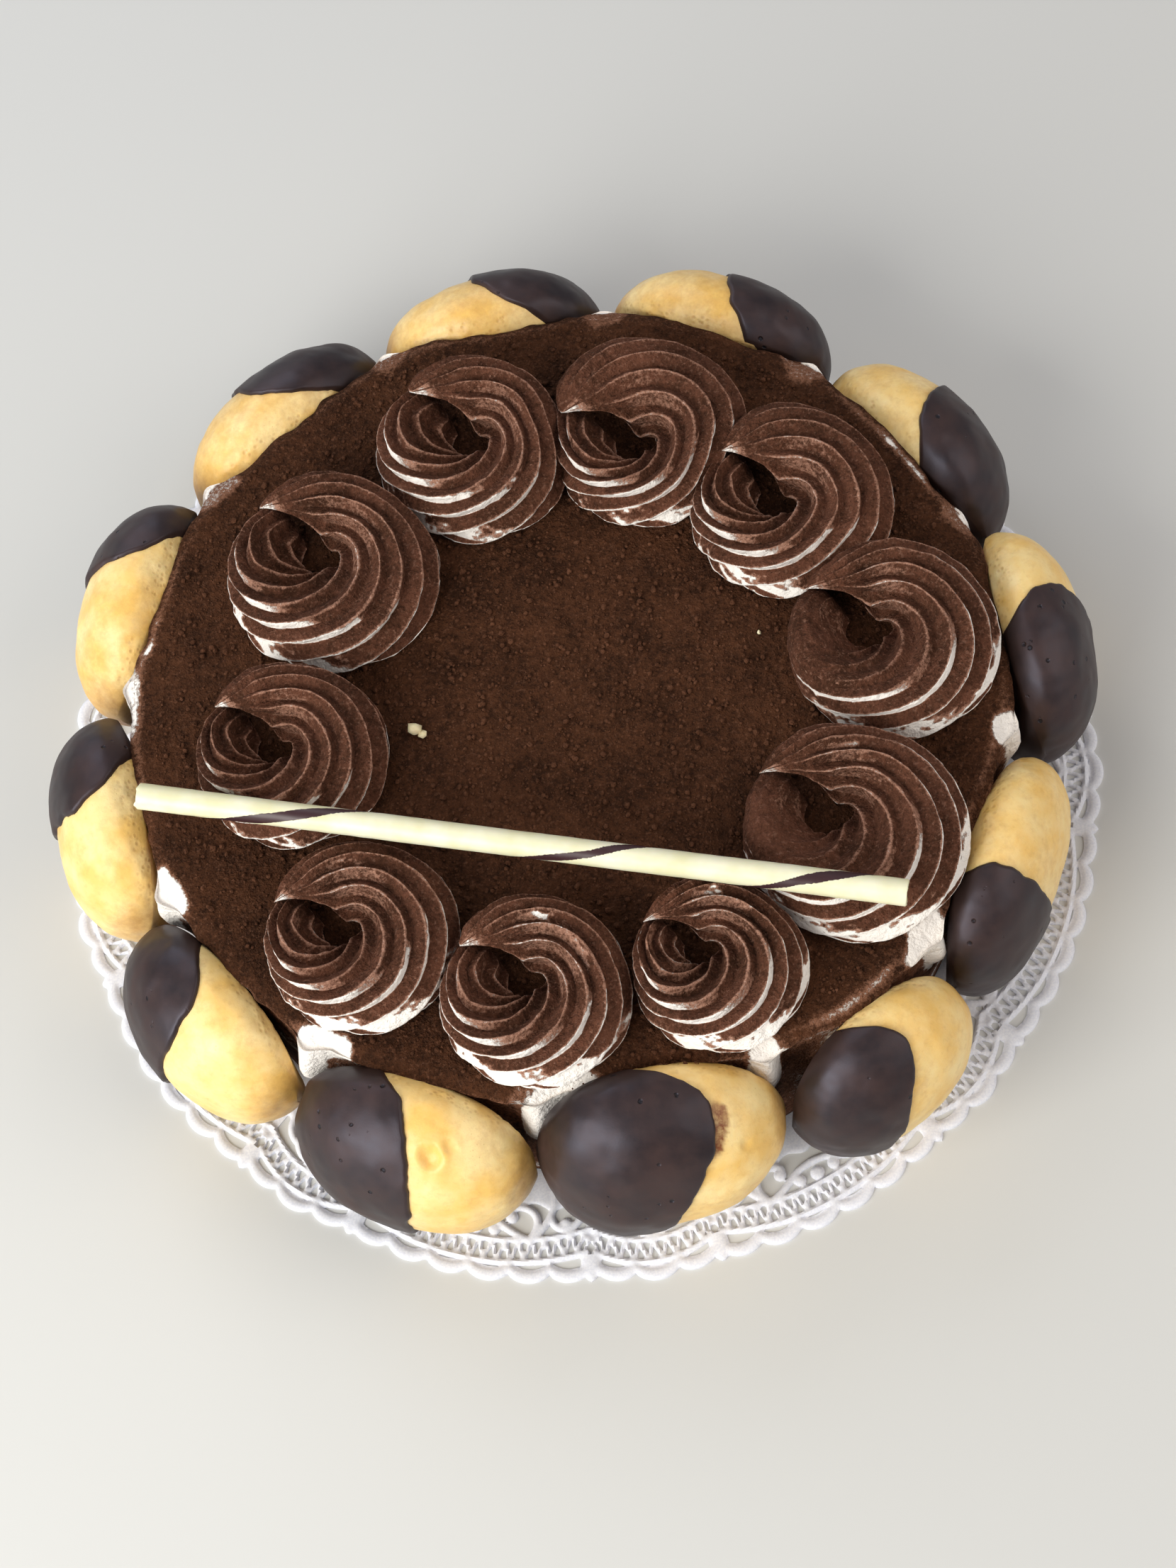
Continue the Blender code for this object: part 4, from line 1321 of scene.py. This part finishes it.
@dataclass
class SpongeDrops:
    """Twelve baked sponge drops, each standing on its long side against the cake."""

    rows: int = 116
    front: int = 112
    back: int = 8
    # How near the grid comes to both ends, as an angle in the spacing of its rows.
    end_turn: float = 0.03
    back_wrap_deg: float = 180.0
    scar: float = 0.35 * MM
    # How much painted shade darkens and tans the drops at the far side.
    far_side_shade: float = 0.22
    # The drop on which the chocolate has bled into the sponge, and where round it.
    stained: int = 6
    stain_wrap_deg: float = 56.0
    stain_half_deg: float = 17.0

    def grid(self, form: DropForm) -> tuple[np.ndarray, np.ndarray, np.ndarray]:
        """A plain drop: its crowned front and then, straight across each section, its flat back.

        Args:
            form: The drop's form.

        Returns:
            Points in the drop's own axes, and the share and the wrap of each.
        """
        share = (1 - np.cos(np.linspace(self.end_turn, math.pi - self.end_turn, self.rows)))[:, None] / 2
        wrap = form.wraps(self.front)[None]
        skin = form.surface(share, wrap, 0.0)
        across = np.linspace(0, 1, self.back + 2)[None, 1:-1, None]
        back = skin[:, -1:] * (1 - across) + skin[:, :1] * across
        wraps = np.concatenate([np.broadcast_to(wrap, skin.shape[:2]),
                                np.full(back.shape[:2], self.back_wrap_deg)], axis=1)
        return np.concatenate([skin, back], axis=1), np.broadcast_to(share, wraps.shape), wraps

    def torn(self, form: DropForm, grid: np.ndarray, share: np.ndarray, wraps: np.ndarray) -> np.ndarray:
        """The crumb that shows where the skin is torn along a drop's top back edge.

        Args:
            form: The drop's form.
            grid: Its points.
            share: The share of each.
            wraps: The wrap of each.

        Returns:
            1 on open crumb and 0 on skin.
        """
        on_back = wraps >= self.back_wrap_deg
        edge = ease_between(wraps, 96, 112) * ~on_back + ease_between(wraps, 150, 170)
        crumb = np.clip(edge, 0, 1) * ease_between(noise(grid, 7 * MM, form.seed + 9, 2), -0.5, 0.2)
        return crumb * ease_between(np.abs(2 * share - 1), 0.97, 0.8)

    def baked(self, form: DropForm, grid: np.ndarray, share: np.ndarray, wraps: np.ndarray) -> np.ndarray:
        """How tan the skin is: most at the ends and the foot, a little along the dip's edge, and more on the
        drops at the far side as painted shade.

        Args:
            form: The drop's form.
            grid: Its points.
            share: The share of each.
            wraps: The wrap of each.

        Returns:
            From 0, pale, to 1, tan.
        """
        ends = ease_between(np.abs(2 * share - 1), 0.8, 1.0)
        foot = ease_between(wraps, -50, -100)
        dip_edge = hump(share - form.dip_share(wraps), 0.0, 0.03)
        bake_and_shade = 0.55 * ends + 0.3 * foot + 0.12 * dip_edge + 0.12 * noise(grid, 11 * MM, form.seed + 13, 2)
        # Painted shade: the drops at the far side are made a little darker and more tan.
        return bake_and_shade + self.far_side_shade * max(0.0, math.sin(math.radians(form.drop.azimuth_deg)))

    def stain(self, form: DropForm, grid: np.ndarray, share: np.ndarray, wraps: np.ndarray) -> np.ndarray:
        """Where chocolate has bled into the sponge beside the dip's edge.

        Args:
            form: The drop's form.
            grid: Its points.
            share: The share of each.
            wraps: The wrap of each.

        Returns:
            1 in the stain and 0 outside it.
        """
        beside = share - form.dip_share(wraps) + 0.028 * noise(grid, 2.5 * MM, 77, 3)
        near = ease_between(hump(wraps, self.stain_wrap_deg, self.stain_half_deg), 0.2, 0.5)
        return near * ease_between(beside, 0.072, 0.05)

    @staticmethod
    def dented(form: DropForm, grid: np.ndarray, base: np.ndarray, crater: Crater) -> np.ndarray:
        """Sinks a burst bubble with a low raised rim.

        Args:
            form: The drop's form.
            grid: Its points.
            base: The points of the plain drop.
            crater: The bubble.

        Returns:
            The points with the bubble.
        """
        spot = form.surface(np.array(crater.share), np.array(crater.wrap_deg), 0.0)
        away = np.linalg.norm(base - spot, axis=-1) / (crater.size_mm * MM)
        away = away * (1 + 0.22 * noise(base, 3 * MM, 78, 2))
        dent = (0.22 * hump(away, 1.3, 0.3) - ease_between(away, 1.1, 0.45)) * crater.depth_mm * MM
        return grid + form.outward(base) * dent[..., None]

    def build(self, finish: BakedSponge) -> None:
        """Makes and dresses the drops.

        Args:
            finish: Their finish.
        """
        material = finish.build()
        for number, drop in enumerate(DROPS, start=1):
            form = DropForm(drop, number * 7)
            base, share, wraps = self.grid(form)
            crumb = self.torn(form, base, share, wraps)
            swell = form.lumps(base) * ease_between(np.abs(wraps), 128, 100)
            swell = swell + crumb * self.scar * noise(base, 2.2 * MM, form.seed + 11, 3)
            grid = base + form.outward(base) * swell[..., None]
            bake_and_shade = self.baked(form, grid, share, wraps)
            stain = self.stain(form, grid, share, wraps) if number == self.stained else np.zeros(wraps.shape)
            for crater in CRATERS:
                if crater.drop == number:
                    grid = self.dented(form, grid, base, crater)
            points, faces = closed_skin(form.to_world(grid))
            paint = {title: skin_paint(np.clip(values, 0, 1))
                     for title, values in (("bake_and_shade", bake_and_shade), ("crumb", crumb), ("stain", stain))}
            piece = make_mesh(f"sponge_skin_{number:02d}", points, faces, paint)
            place(piece, material, Slot.SPONGE, f"sponge_drop_{number:02d}")


@dataclass
class ChocolateCoats:
    """The dipped chocolate: a shell over one end of each drop, thin, with a rounded wavy lip."""

    rows: int = 72
    lip_rows: int = 7
    inner_rows: int = 6
    front: int = 96
    sink: float = 0.35 * MM
    wave: float = 0.014

    def build(self, finish: SetChocolate) -> None:
        """Makes and dresses the coats.

        Args:
            finish: Their finish.
        """
        material = finish.build()
        for number, drop in enumerate(DROPS, start=1):
            form = DropForm(drop, number * 7)
            wrap = form.wraps(self.front)[None]
            edge = form.dip_share(wrap)
            front_edge = form.surface(edge, wrap, 0.0)
            wave = self.wave * noise(front_edge, 6 * MM, form.seed + 21, 3)
            edge = edge + wave * ease_between(np.abs(wrap), 124, 90)
            steps = np.linspace(0.02, 1, self.rows)[:, None]
            steps_back = np.linspace(0.97, 0.03, self.inner_rows)[:, None]
            forward, lip_grow = self.coat_lip(form)
            # Over the coat's face, round its lip and back through the sponge behind it.
            share = np.concatenate([edge * (1 - np.cos(steps * math.pi / 2)), edge + forward[:, None],
                                    edge * (1 - np.cos(steps_back * math.pi / 2))])
            grow = np.concatenate([np.full((self.rows, 1), form.coat), lip_grow[:, None],
                                   np.full((self.inner_rows, 1), -self.sink)])
            grid = form.surface(share, np.broadcast_to(wrap, share.shape), grow)
            base = form.surface(share, np.broadcast_to(wrap, share.shape), 0.0)
            swell = form.lumps(base) * ease_between(np.abs(wrap), 128, 100)
            run = 0.22 * MM * noise(base, 9 * MM, form.seed + 31, 2) * (grow > 0)
            grid = grid + form.outward(base) * (swell + run)[..., None]
            points, faces = closed_skin(form.to_world(grid))
            piece = make_mesh(f"chocolate_coat_{number:02d}", points, faces, {})
            place(piece, material, Slot.CHOCOLATE, f"chocolate_dip_{number:02d}")

    def coat_lip(self, form: DropForm) -> tuple[np.ndarray, np.ndarray]:
        """The lip's profile, a quarter round from the coat's face down to the sponge.

        Args:
            form: The drop's form.

        Returns:
            How far each row runs on past the dip's edge, in shares of the width, and its growth.
        """
        turn = np.linspace(0, math.pi / 2, self.lip_rows + 1)[1:]
        forward = form.coat / form.drop.width * np.sin(turn)
        grow = -self.sink + (form.coat + self.sink) * np.cos(turn)
        return forward, grow


@dataclass
class PipedRosettes:
    """Ten rosettes, each one turn and a bit of star-tip piping round an eye, with its tail on top.

    Theta runs along the piping and turn runs round its ribbed cross-section, from its outer side over
    its top to its inner side. Each ridge is a terrace: a steep face outwards and a long tread inwards.
    """

    ridges: int = 10
    ridge_depth: float = 0.108
    crest_phase: float = 0.30
    crowding: float = 0.30
    height: float = 26.0 * MM
    # The eye's edge: its distance from the eye's middle in shares of the rosette's radius.
    eye_edge: tuple = ((123, 0.20), (300, 0.20), (335, 0.245), (352, 0.255), (372, 0.215), (400, 0.165),
                       (425, 0.155), (448, 0.185), (470, 0.25), (486, 0.36), (498, 0.52), (505, 0.66))
    eye_bell_deg: float = 7.0
    start_deg: float = 123.0
    end_deg: float = 504.6
    # The section's top and foot in shares of the rosette's height, and its widest level between them.
    top: tuple = ((123, 0.24), (138, 0.35), (160, 0.46), (200, 0.56), (260, 0.60), (350, 0.62), (420, 0.66),
                  (460, 0.66), (485, 0.60), (505, 0.45))
    foot: tuple = ((123, 0.0), (395, 0.0), (430, 0.08), (460, 0.25), (480, 0.365), (505, 0.43))
    waist: tuple = ((123, 0.18), (395, 0.18), (505, 0.42))
    # How far the ridges have rolled round the section.
    roll_deg: tuple = ((123, 0), (165, 2), (205, 28), (240, 72), (280, 115), (350, 168), (430, 205),
                       (505, 235))
    # How far the section's top leans outwards.
    lean: tuple = ((123, 0.45), (215, 0.45), (290, 0.25), (360, 0.0), (505, 0.0))
    # How gently the inner side falls to the eye: 1 is a half round, more is a funnel.
    funnel: tuple = ((123, 1.9), (230, 1.9), (290, 1.35), (350, 1.0), (505, 1.0))
    ridging: tuple = ((123, 1.0), (440, 1.0), (475, 0.7), (500, 0.25), (505, 0.2))
    rows: int = 190
    columns: int = 180
    overlap: float = 3.5 * MM
    corner: float = 2.5 * MM
    sunk: float = 0.6 * MM
    tear: float = 0.25 * MM
    # How far from upright the cocoa fell, away from each rosette's lee side.
    sieve_deg: float = 31.0

    def reach(self, rosette: Rosette, theta_deg: np.ndarray) -> np.ndarray:
        """Distance from the eye to the rosette's edge: a circle, pressed in where a neighbour stands.

        The edge and the plane between two neighbours join by a soft minimum.

        Args:
            rosette: Which rosette.
            theta_deg: Angles along the piping.

        Returns:
            The distance at each angle.
        """
        theta = np.radians(theta_deg + rosette.turn_deg)
        facing = np.stack([np.cos(theta), np.sin(theta)], axis=-1)
        eye = np.array(rosette.eye) * rosette.radius
        across = facing @ eye
        reach = np.sqrt(rosette.radius ** 2 - eye @ eye + across ** 2) - across
        weight = np.exp(-reach / self.corner)
        for other in ROSETTES:
            apart = other.middle() - rosette.middle()
            distance = float(np.linalg.norm(apart))
            if other is rosette or distance > rosette.radius + other.radius:
                continue
            share = (distance + rosette.radius - other.radius) / 2 + self.overlap
            towards = facing @ apart / distance
            room = (share - eye @ apart / distance) / np.maximum(towards, 1e-3)
            weight = weight + np.where(towards > 0.05, np.exp(-room / self.corner), 0)
        return np.minimum(reach, -self.corner * np.log(weight))

    def terrace(self, turn: np.ndarray) -> np.ndarray:
        """The ridges' profile: a quick rise inwards and a slow fall.

        Args:
            turn: Angle round the cross-section, in radians.

        Returns:
            0 in a groove and 1 on a crest.
        """
        phase = turn * self.ridges / (2 * math.pi) % 1
        face, tread = phase / self.crest_phase, (1 - phase) / (1 - self.crest_phase)
        return np.minimum(face, 1) ** 1.3 * np.minimum(tread, 1) ** 1.15

    def surface(self, rosette: Rosette, theta_deg: np.ndarray, turn: np.ndarray) -> tuple[np.ndarray, ...]:
        """The ribbed piping.

        Args:
            rosette: Which rosette.
            theta_deg: Angle along the piping.
            turn: Angle round its cross-section, in radians.

        Returns:
            Points, how strongly each point's ridges are drawn, from 0 to 1, and how far it is on the
            outer side, from 0 to 1.
        """
        def at(table: tuple) -> np.ndarray:
            """A value read off a table of (theta, value) pairs."""
            return np.interp(theta_deg, *zip(*table))

        radius = rosette.radius
        reach = self.reach(rosette, theta_deg) - self.ridge_depth * radius / 2
        offsets = np.linspace(-12, 12, 9)
        weights = np.exp(-(offsets / self.eye_bell_deg) ** 2)
        edge = np.interp(theta_deg[..., None] + offsets, *zip(*self.eye_edge)) @ weights / weights.sum()
        inner = np.minimum(edge * radius, 0.97 * reach)
        half_width, middle = (reach - inner) / 2, (reach + inner) / 2
        angle = turn + np.radians(at(self.roll_deg))
        angle = angle + self.crowding * np.cos(angle)
        top, foot = at(self.top), at(self.foot)
        left = hump(theta_deg, 195, 75)
        strength = at(self.ridging) * (1 - rosette.plain * left) * np.minimum(1, (top - foot) / 0.5)
        strength = strength * np.ones_like(turn)
        ridge = self.ridge_depth * strength * (self.terrace(turn) - 0.5)
        waist_height = foot + at(self.waist) * (top - foot)
        above = np.sin(angle) > 0
        rise = np.where(above, top - waist_height, waist_height - foot)
        slope = np.where(above & (np.cos(angle) < 0), at(self.funnel), 1.0)
        lift = np.sign(np.sin(angle)) * np.abs(np.sin(angle)) ** slope
        across = np.cos(angle) + np.where(above, at(self.lean) * np.sin(angle) ** 2, 0)
        out = middle + half_width * across + ridge * radius * np.cos(angle)
        high = waist_height + rise * lift + np.where(above, ridge * np.sin(angle), 0)
        around = np.radians(theta_deg + rosette.turn_deg)
        eye = rosette.middle() + np.array(rosette.eye) * radius
        points = np.stack([eye[0] + out * np.cos(around), eye[1] + out * np.sin(around),
                           CAKE_TOP + FIT_GAP - self.sunk * (1 - top) + high * self.height], axis=-1)
        return points, strength, ease_between(np.cos(angle), -0.25, 0.35)

    def bare(self, rosette: Rosette, grid: np.ndarray, theta: np.ndarray, turn: np.ndarray,
             strength: np.ndarray, outer: np.ndarray, seed: int) -> np.ndarray:
        """How much cream shows: on faces that the falling cocoa missed, and thinly along the crests.

        Args:
            rosette: Which rosette.
            grid: Its points.
            theta: Angle along the piping, in degrees.
            turn: Angle round its cross-section, in radians.
            strength: How strongly the ridges are drawn, from 0 to 1.
            outer: How far each point is on the outer side, from 0 to 1.
            seed: Which noise pattern to use.

        Returns:
            From 0, thick cocoa, to 1, plain cream, and a little over 1 where no speck is left.
        """
        up = grid_normals(grid)
        if signed_volume(*closed_skin(grid)) < 0:
            up = -up
        patchy = 0.5 + 0.5 * noise(grid, 9 * MM, seed, 2)
        lee, tilt = math.radians(rosette.lee_deg), math.radians(self.sieve_deg)
        sieve = (-math.cos(lee) * math.sin(tilt), -math.sin(lee) * math.sin(tilt), math.cos(tilt))
        facing = up @ np.array(sieve)
        limit = 0.46 - 0.55 * (1 - rosette.shelter)
        missed = ease_between(facing, limit, limit - 0.26)
        missed = missed * (0.12 + 0.88 * ease_between(theta, 450, 415)) * ease_between(theta, 128, 160)
        tip = ease_between(theta, 486, 500) * ease_between(facing, 0.5, 0.2)
        crest = ease_between(self.terrace(turn), 0.80, 0.98) * strength
        open_cream = missed * (0.8 + 0.4 * patchy) * (0.25 + 0.75 * outer)
        line = crest * (0.36 + 0.22 * patchy + 0.34 * ease_between(facing, 0.85, 0.5) * rosette.shelter)
        bare = np.clip(np.maximum.reduce([open_cream, line, 0.8 * tip]), 0, 1)
        return bare + 0.2 * ease_between(bare, 0.65, 0.95)

    def build(self, finish: DustedCream) -> None:
        """Makes and dresses the rosettes.

        Args:
            finish: Their finish.
        """
        material = finish.build()
        for number, rosette in enumerate(ROSETTES, start=1):
            theta = np.linspace(self.start_deg, self.end_deg, self.rows)[:, None]
            turn = (np.arange(self.columns) / self.columns * 2 * math.pi)[None]
            grid, strength, outer = self.surface(rosette, theta, turn)
            # Both ends of the piping close in a half round.
            middle = grid.mean(axis=1, keepdims=True)
            along = np.linspace(0, 1, self.rows)[:, None, None]
            closing = np.clip(np.minimum(along, 1 - along) * self.rows / 8, 0, 1)
            grid = middle + (grid - middle) * np.sqrt(closing * (2 - closing)) ** 0.8
            ragged = noise(grid, 3.0 * MM, number * 5 + 1, 3)[..., None] * closing * self.tear
            grid = grid + grid_normals(grid) * ragged
            bare = self.bare(rosette, grid, theta, turn, strength, outer, number * 5 + 2)
            points, faces = closed_skin(grid)
            piece = make_mesh(f"piped_rosette_{number:02d}", points, faces, {"bare": skin_paint(bare)}, 75.0)
            place(piece, material, Slot.PIPED, f"rosette_{number:02d}")


@dataclass
class RolledPencil:
    """The white chocolate pencil: a long thin roll with a dark seam winding round it."""

    node: str = "white_chocolate_pencil"
    radius: float = 3.5 * MM
    rows: int = 300
    columns: int = 56
    # Where along the roll the seam faces the viewer, and the turn that does.
    seam_places: tuple[float, ...] = (0.205, 0.600, 0.868)
    seam_facing_deg: float = 114.0
    seam_half_deg: float = 23.0
    # How wide the seam is along the roll, in shares of that.
    seam_widths: tuple = ((0.0, 0.8), (0.10, 0.9), (0.17, 1.25), (0.24, 0.85), (0.30, 0.45), (0.40, 0.5),
                          (0.55, 0.9), (1.0, 1.0))
    # Where each end's ragged face has its rings, in shares of the radius.
    cap_rings: tuple[float, ...] = (0.25, 0.6, 0.9)
    raggedness: float = 0.7 * MM
    # The right end is broken more cleanly than the left.
    clean_end: float = 0.6

    def ends(self) -> tuple[np.ndarray, np.ndarray]:
        """Finds the solid's end faces.

        Returns:
            The middles of the left one and the right one.
        """
        corners = np.array([vertex.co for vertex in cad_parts[self.node].data.vertices])
        left = corners[corners[:, 0] < corners[:, 0].min() + 2 * self.radius]
        right = corners[corners[:, 0] > corners[:, 0].max() - 2 * self.radius]
        return (left.min(axis=0) + left.max(axis=0)) / 2, (right.min(axis=0) + right.max(axis=0)) / 2

    def build(self, finish: RolledWhiteChocolate) -> bpy.types.Object:
        """Makes and dresses the pencil.

        Args:
            finish: Its finish.

        Returns:
            The piece.
        """
        left, right = self.ends()
        length = float(np.linalg.norm(right - left))
        axis = (right - left) / length
        side = np.cross((0, 0, 1), axis)
        side /= np.linalg.norm(side)
        up = np.cross(axis, side)
        share = np.linspace(0, 1, self.rows)[:, None]
        turn = (np.arange(self.columns) / self.columns * 2 * math.pi)[None]
        place_in = np.stack(np.broadcast_arrays(share * length, np.cos(turn) * self.radius,
                                                np.sin(turn) * self.radius), axis=-1)
        bend, tooth = noise(place_in, 18 * MM, 91, 2), noise(place_in, 3 * MM, 92, 2)
        thick = self.radius * (0.975 + 0.02 * bend + 0.01 * tooth)
        across = np.cos(turn)[..., None] * side + np.sin(turn)[..., None] * up
        grid = left + axis * (share * length)[..., None] + across * thick[..., None]
        # Each end is a flat break, slightly ragged.
        ragged = noise(place_in[:1], 1.6 * MM, 93, 2)[0][:, None] * axis * self.raggedness
        start = [left + ((grid[0] - left) + ragged) * reach for reach in self.cap_rings]
        end = [right + ((grid[-1] - right) + ragged * self.clean_end) * reach for reach in self.cap_rings]
        grid = np.concatenate([np.array(start), grid, np.array(end)[::-1]])
        seam = self.seam(place_in, share, turn)
        flat = np.zeros((len(self.cap_rings), self.columns))
        seam = np.concatenate([flat, seam, flat])
        points, faces = closed_skin(grid)
        piece = make_mesh("rolled_pencil", points, faces, {"stripe": skin_paint(seam)}, 45.0)
        return place(piece, finish.build(), Slot.WHITE, self.node)

    def seam(self, place_in: np.ndarray, share: np.ndarray, turn: np.ndarray) -> np.ndarray:
        """The dark seam: it winds once round between the places at which it faces up and forward.

        Args:
            place_in: Points along the roll, for the noise.
            share: Place along the roll, from 0 to 1.
            turn: Angle round it, in radians.

        Returns:
            1 on the seam and 0 off it.
        """
        lap = np.interp(share, (-0.20, *self.seam_places, 1.2), np.arange(-1, len(self.seam_places) + 1))
        middle = math.radians(self.seam_facing_deg) - lap * 2 * math.pi
        away = np.abs((turn - middle + math.pi) % (2 * math.pi) - math.pi)
        half = math.radians(self.seam_half_deg) * np.interp(share, *zip(*self.seam_widths))
        half = half * (1 + 0.35 * noise(place_in, 12 * MM, 94, 2))
        return ease_between(away / half, 1.3, 0.7)


@dataclass
class Scatter:
    """Small loose things: lumps of cocoa on the cake's top and crumbs of sponge."""

    lumps: int = 7600
    lump_sizes: tuple[float, float] = (0.25 * MM, 1.05 * MM)
    field_radius: float = 113.0 * MM
    seed: int = 4
    # Sponge crumbs: x, y and half their size.
    crumb_places: tuple[tuple[float, float, float], ...] = (
        (-42.0 * MM, -6.7 * MM, 2.2 * MM), (-40.2 * MM, -8.2 * MM, 1.3 * MM), (54.1 * MM, 6.5 * MM, 0.8 * MM))

    @staticmethod
    def stone() -> tuple[np.ndarray, np.ndarray]:
        """A twenty-faced stone.

        Returns:
            Its twelve corners, 1 from its middle, and its faces.
        """
        golden = (1 + math.sqrt(5)) / 2
        corners = []
        for a in (-1, 1):
            for b in (-golden, golden):
                corners += [(0, a, b), (a, b, 0), (b, 0, a)]
        corners = np.array(corners) / math.hypot(1, golden)
        faces = []
        for i in range(12):
            for j in range(i + 1, 12):
                for k in range(j + 1, 12):
                    sides = [np.linalg.norm(corners[m] - corners[n]) for m, n in ((i, j), (j, k), (i, k))]
                    # Only neighbouring corners are 1.05 apart; the next are 1.7.
                    if max(sides) < 1.1:
                        turned = np.cross(corners[j] - corners[i], corners[k] - corners[i]) @ corners[i] > 0
                        faces.append((i, j, k) if turned else (i, k, j))
        return corners, np.array(faces)

    def heap(self, spots: np.ndarray, sizes: np.ndarray, draw: np.random.Generator) -> tuple:
        """Many uneven stones as one mesh: each corner is pushed in or out, and each stone is turned.

        Args:
            spots: The stones' middles.
            sizes: Half their sizes.
            draw: Where the random numbers come from.

        Returns:
            Points and faces.
        """
        corners, faces = self.stone()
        count = len(spots)
        stones = corners[None] * draw.uniform(0.7, 1.15, (count, 12, 1)) * sizes[:, None, None]
        spin = draw.uniform(0, 2 * math.pi, count)
        c, s = np.cos(spin)[:, None], np.sin(spin)[:, None]
        x, y = stones[..., 0] * c - stones[..., 1] * s, stones[..., 0] * s + stones[..., 1] * c
        stones = np.stack([x, y, stones[..., 2] * 0.8], axis=-1) + spots[:, None]
        return stones.reshape(-1, 3), [(faces[None] + np.arange(count)[:, None, None] * 12).reshape(-1, 3)]

    def build(self, cocoa: DustedCream, sponge: BakedSponge) -> None:
        """Makes and dresses the lumps and the crumbs.

        Args:
            cocoa: The lumps' finish.
            sponge: The crumbs' finish.
        """
        draw = np.random.default_rng(self.seed)
        radius = self.field_radius * np.sqrt(draw.uniform(0, 1, self.lumps))
        turn = draw.uniform(0, 2 * math.pi, self.lumps)
        low, high = self.lump_sizes
        sizes = low * (high / low) ** draw.uniform(0, 1, self.lumps) ** 2
        spots = np.stack([radius * np.cos(turn), radius * np.sin(turn), CAKE_TOP + 0.45 * sizes], axis=-1)
        spots[:, 2] += 0.45 * MM * noise(spots * (1, 1, 0) + (0, 0, CAKE_TOP), 34 * MM, 1, 2)
        points, faces = self.heap(spots, sizes, draw)
        place(make_mesh("cocoa_lumps", points, faces, {}), cocoa.build(), Slot.CREAM)
        x, y, half = np.array(self.crumb_places).T
        spots = np.stack([x, y, CAKE_TOP + 0.75 * half], axis=-1)
        points, faces = self.heap(spots, half, draw)
        place(make_mesh("sponge_crumbs", points, faces, {}), sponge.build(), Slot.SPONGE)


@dataclass
class Studio:
    """The floor, the soft lights and the camera at the photograph's viewing angle."""

    lens_mm: float = 58.24
    distance: float = 0.7409
    elevation_deg: float = 66.64
    roll_deg: float = -8.83
    yaw_deg: float = 0.205
    pitch_deg: float = -0.339
    floor_half: float = 1.6
    world: str = "#dfe5ee"
    world_strength: float = 0.36

    def camera(self) -> None:
        """The camera, aimed from its elevation and then turned by roll, yaw and pitch."""
        elevation = math.radians(self.elevation_deg)
        back = Vector((0, -math.cos(elevation), math.sin(elevation)))
        right = Vector((1, 0, 0))
        up = back.cross(right)
        c, s = math.cos(math.radians(self.roll_deg)), math.sin(math.radians(self.roll_deg))
        right, up = c * right + s * up, -s * right + c * up
        forward = -back
        c, s = math.cos(math.radians(self.yaw_deg)), math.sin(math.radians(self.yaw_deg))
        right, forward = c * right - s * forward, s * right + c * forward
        c, s = math.cos(math.radians(self.pitch_deg)), math.sin(math.radians(self.pitch_deg))
        up, forward = c * up - s * forward, s * up + c * forward
        lens = bpy.data.cameras.new("camera")
        lens.lens, lens.sensor_width, lens.sensor_fit = self.lens_mm, 36.0, "AUTO"
        lens.clip_start = 0.01
        camera = bpy.data.objects.new("camera", lens)
        turned = Matrix((right, up, -forward)).transposed().to_4x4()
        turned.translation = back * self.distance
        camera.matrix_world = turned
        bpy.context.scene.collection.objects.link(camera)
        bpy.context.scene.camera = camera

    @staticmethod
    def light(name: str, spot: tuple[float, float, float], size: float, watts: float, tint: str) -> None:
        """A soft square light aimed at the cake.

        Args:
            name: The light's name.
            spot: Where it stands.
            size: The length of its sides.
            watts: Its power.
            tint: Its colour, as a hex code.
        """
        lamp = bpy.data.lights.new(name, "AREA")
        lamp.size, lamp.energy, lamp.color = size, watts, colour(tint)[:3]
        made = bpy.data.objects.new(name, lamp)
        made.location = spot
        made.rotation_euler = (Vector((0, 0, 0.04)) - Vector(spot)).to_track_quat("-Z", "Y").to_euler()
        bpy.context.scene.collection.objects.link(made)

    def build(self) -> None:
        """Makes the floor, the lights, the surrounding light and the camera."""
        half = self.floor_half
        mesh = bpy.data.meshes.new("floor")
        corners = [(-half, -half, 0), (half, -half, 0), (half, half, 0), (-half, half, 0)]
        mesh.from_pydata(corners, [], [(0, 1, 2, 3)])
        floor = bpy.data.objects.new("floor", mesh)
        bpy.context.scene.collection.objects.link(floor)
        mesh.materials.append(PaleFloor().build())
        self.light("window", (-0.82, -0.68, 0.68), 0.85, 18.5, "#fcfaf3")
        self.light("back_window", (-0.45, 0.85, 0.75), 0.8, 4.5, "#f6f7fb")
        self.light("side", (0.85, -0.25, 0.75), 0.9, 5.2, "#fff3e4")
        bpy.context.scene.view_settings.view_transform = "Standard"
        world = bpy.data.worlds.new("studio")
        bpy.context.scene.world = world
        world.use_nodes = True
        sky = world.node_tree.nodes["Background"]
        sky.inputs["Color"].default_value = colour(self.world)
        sky.inputs["Strength"].default_value = self.world_strength
        self.camera()


def main() -> None:
    """Builds the pieces in order."""
    logging.basicConfig(level=logging.INFO, format="%(message)s")
    Studio().build()
    LaceDoily().build(LacePaper())
    CreamCake().build(DustedCream("dusted_cream"))
    SpongeDrops().build(BakedSponge())
    ChocolateCoats().build(SetChocolate())
    PipedRosettes().build(DustedCream("dusted_piped_cream", thick="#42281b", warm="#674131", veil="#bb8c76"))
    RolledPencil().build(RolledWhiteChocolate())
    # The loose lumps' cocoa is painted a little lighter than the top's, standing for the light that they
    # catch.
    Scatter().build(DustedCream("loose_cocoa", thick="#472b1c", warm="#66422f"),
                    BakedSponge("loose_crumb", gold="#e8d8a8", pale="#f2e8c8"))


if __name__ == "__main__":
    main()
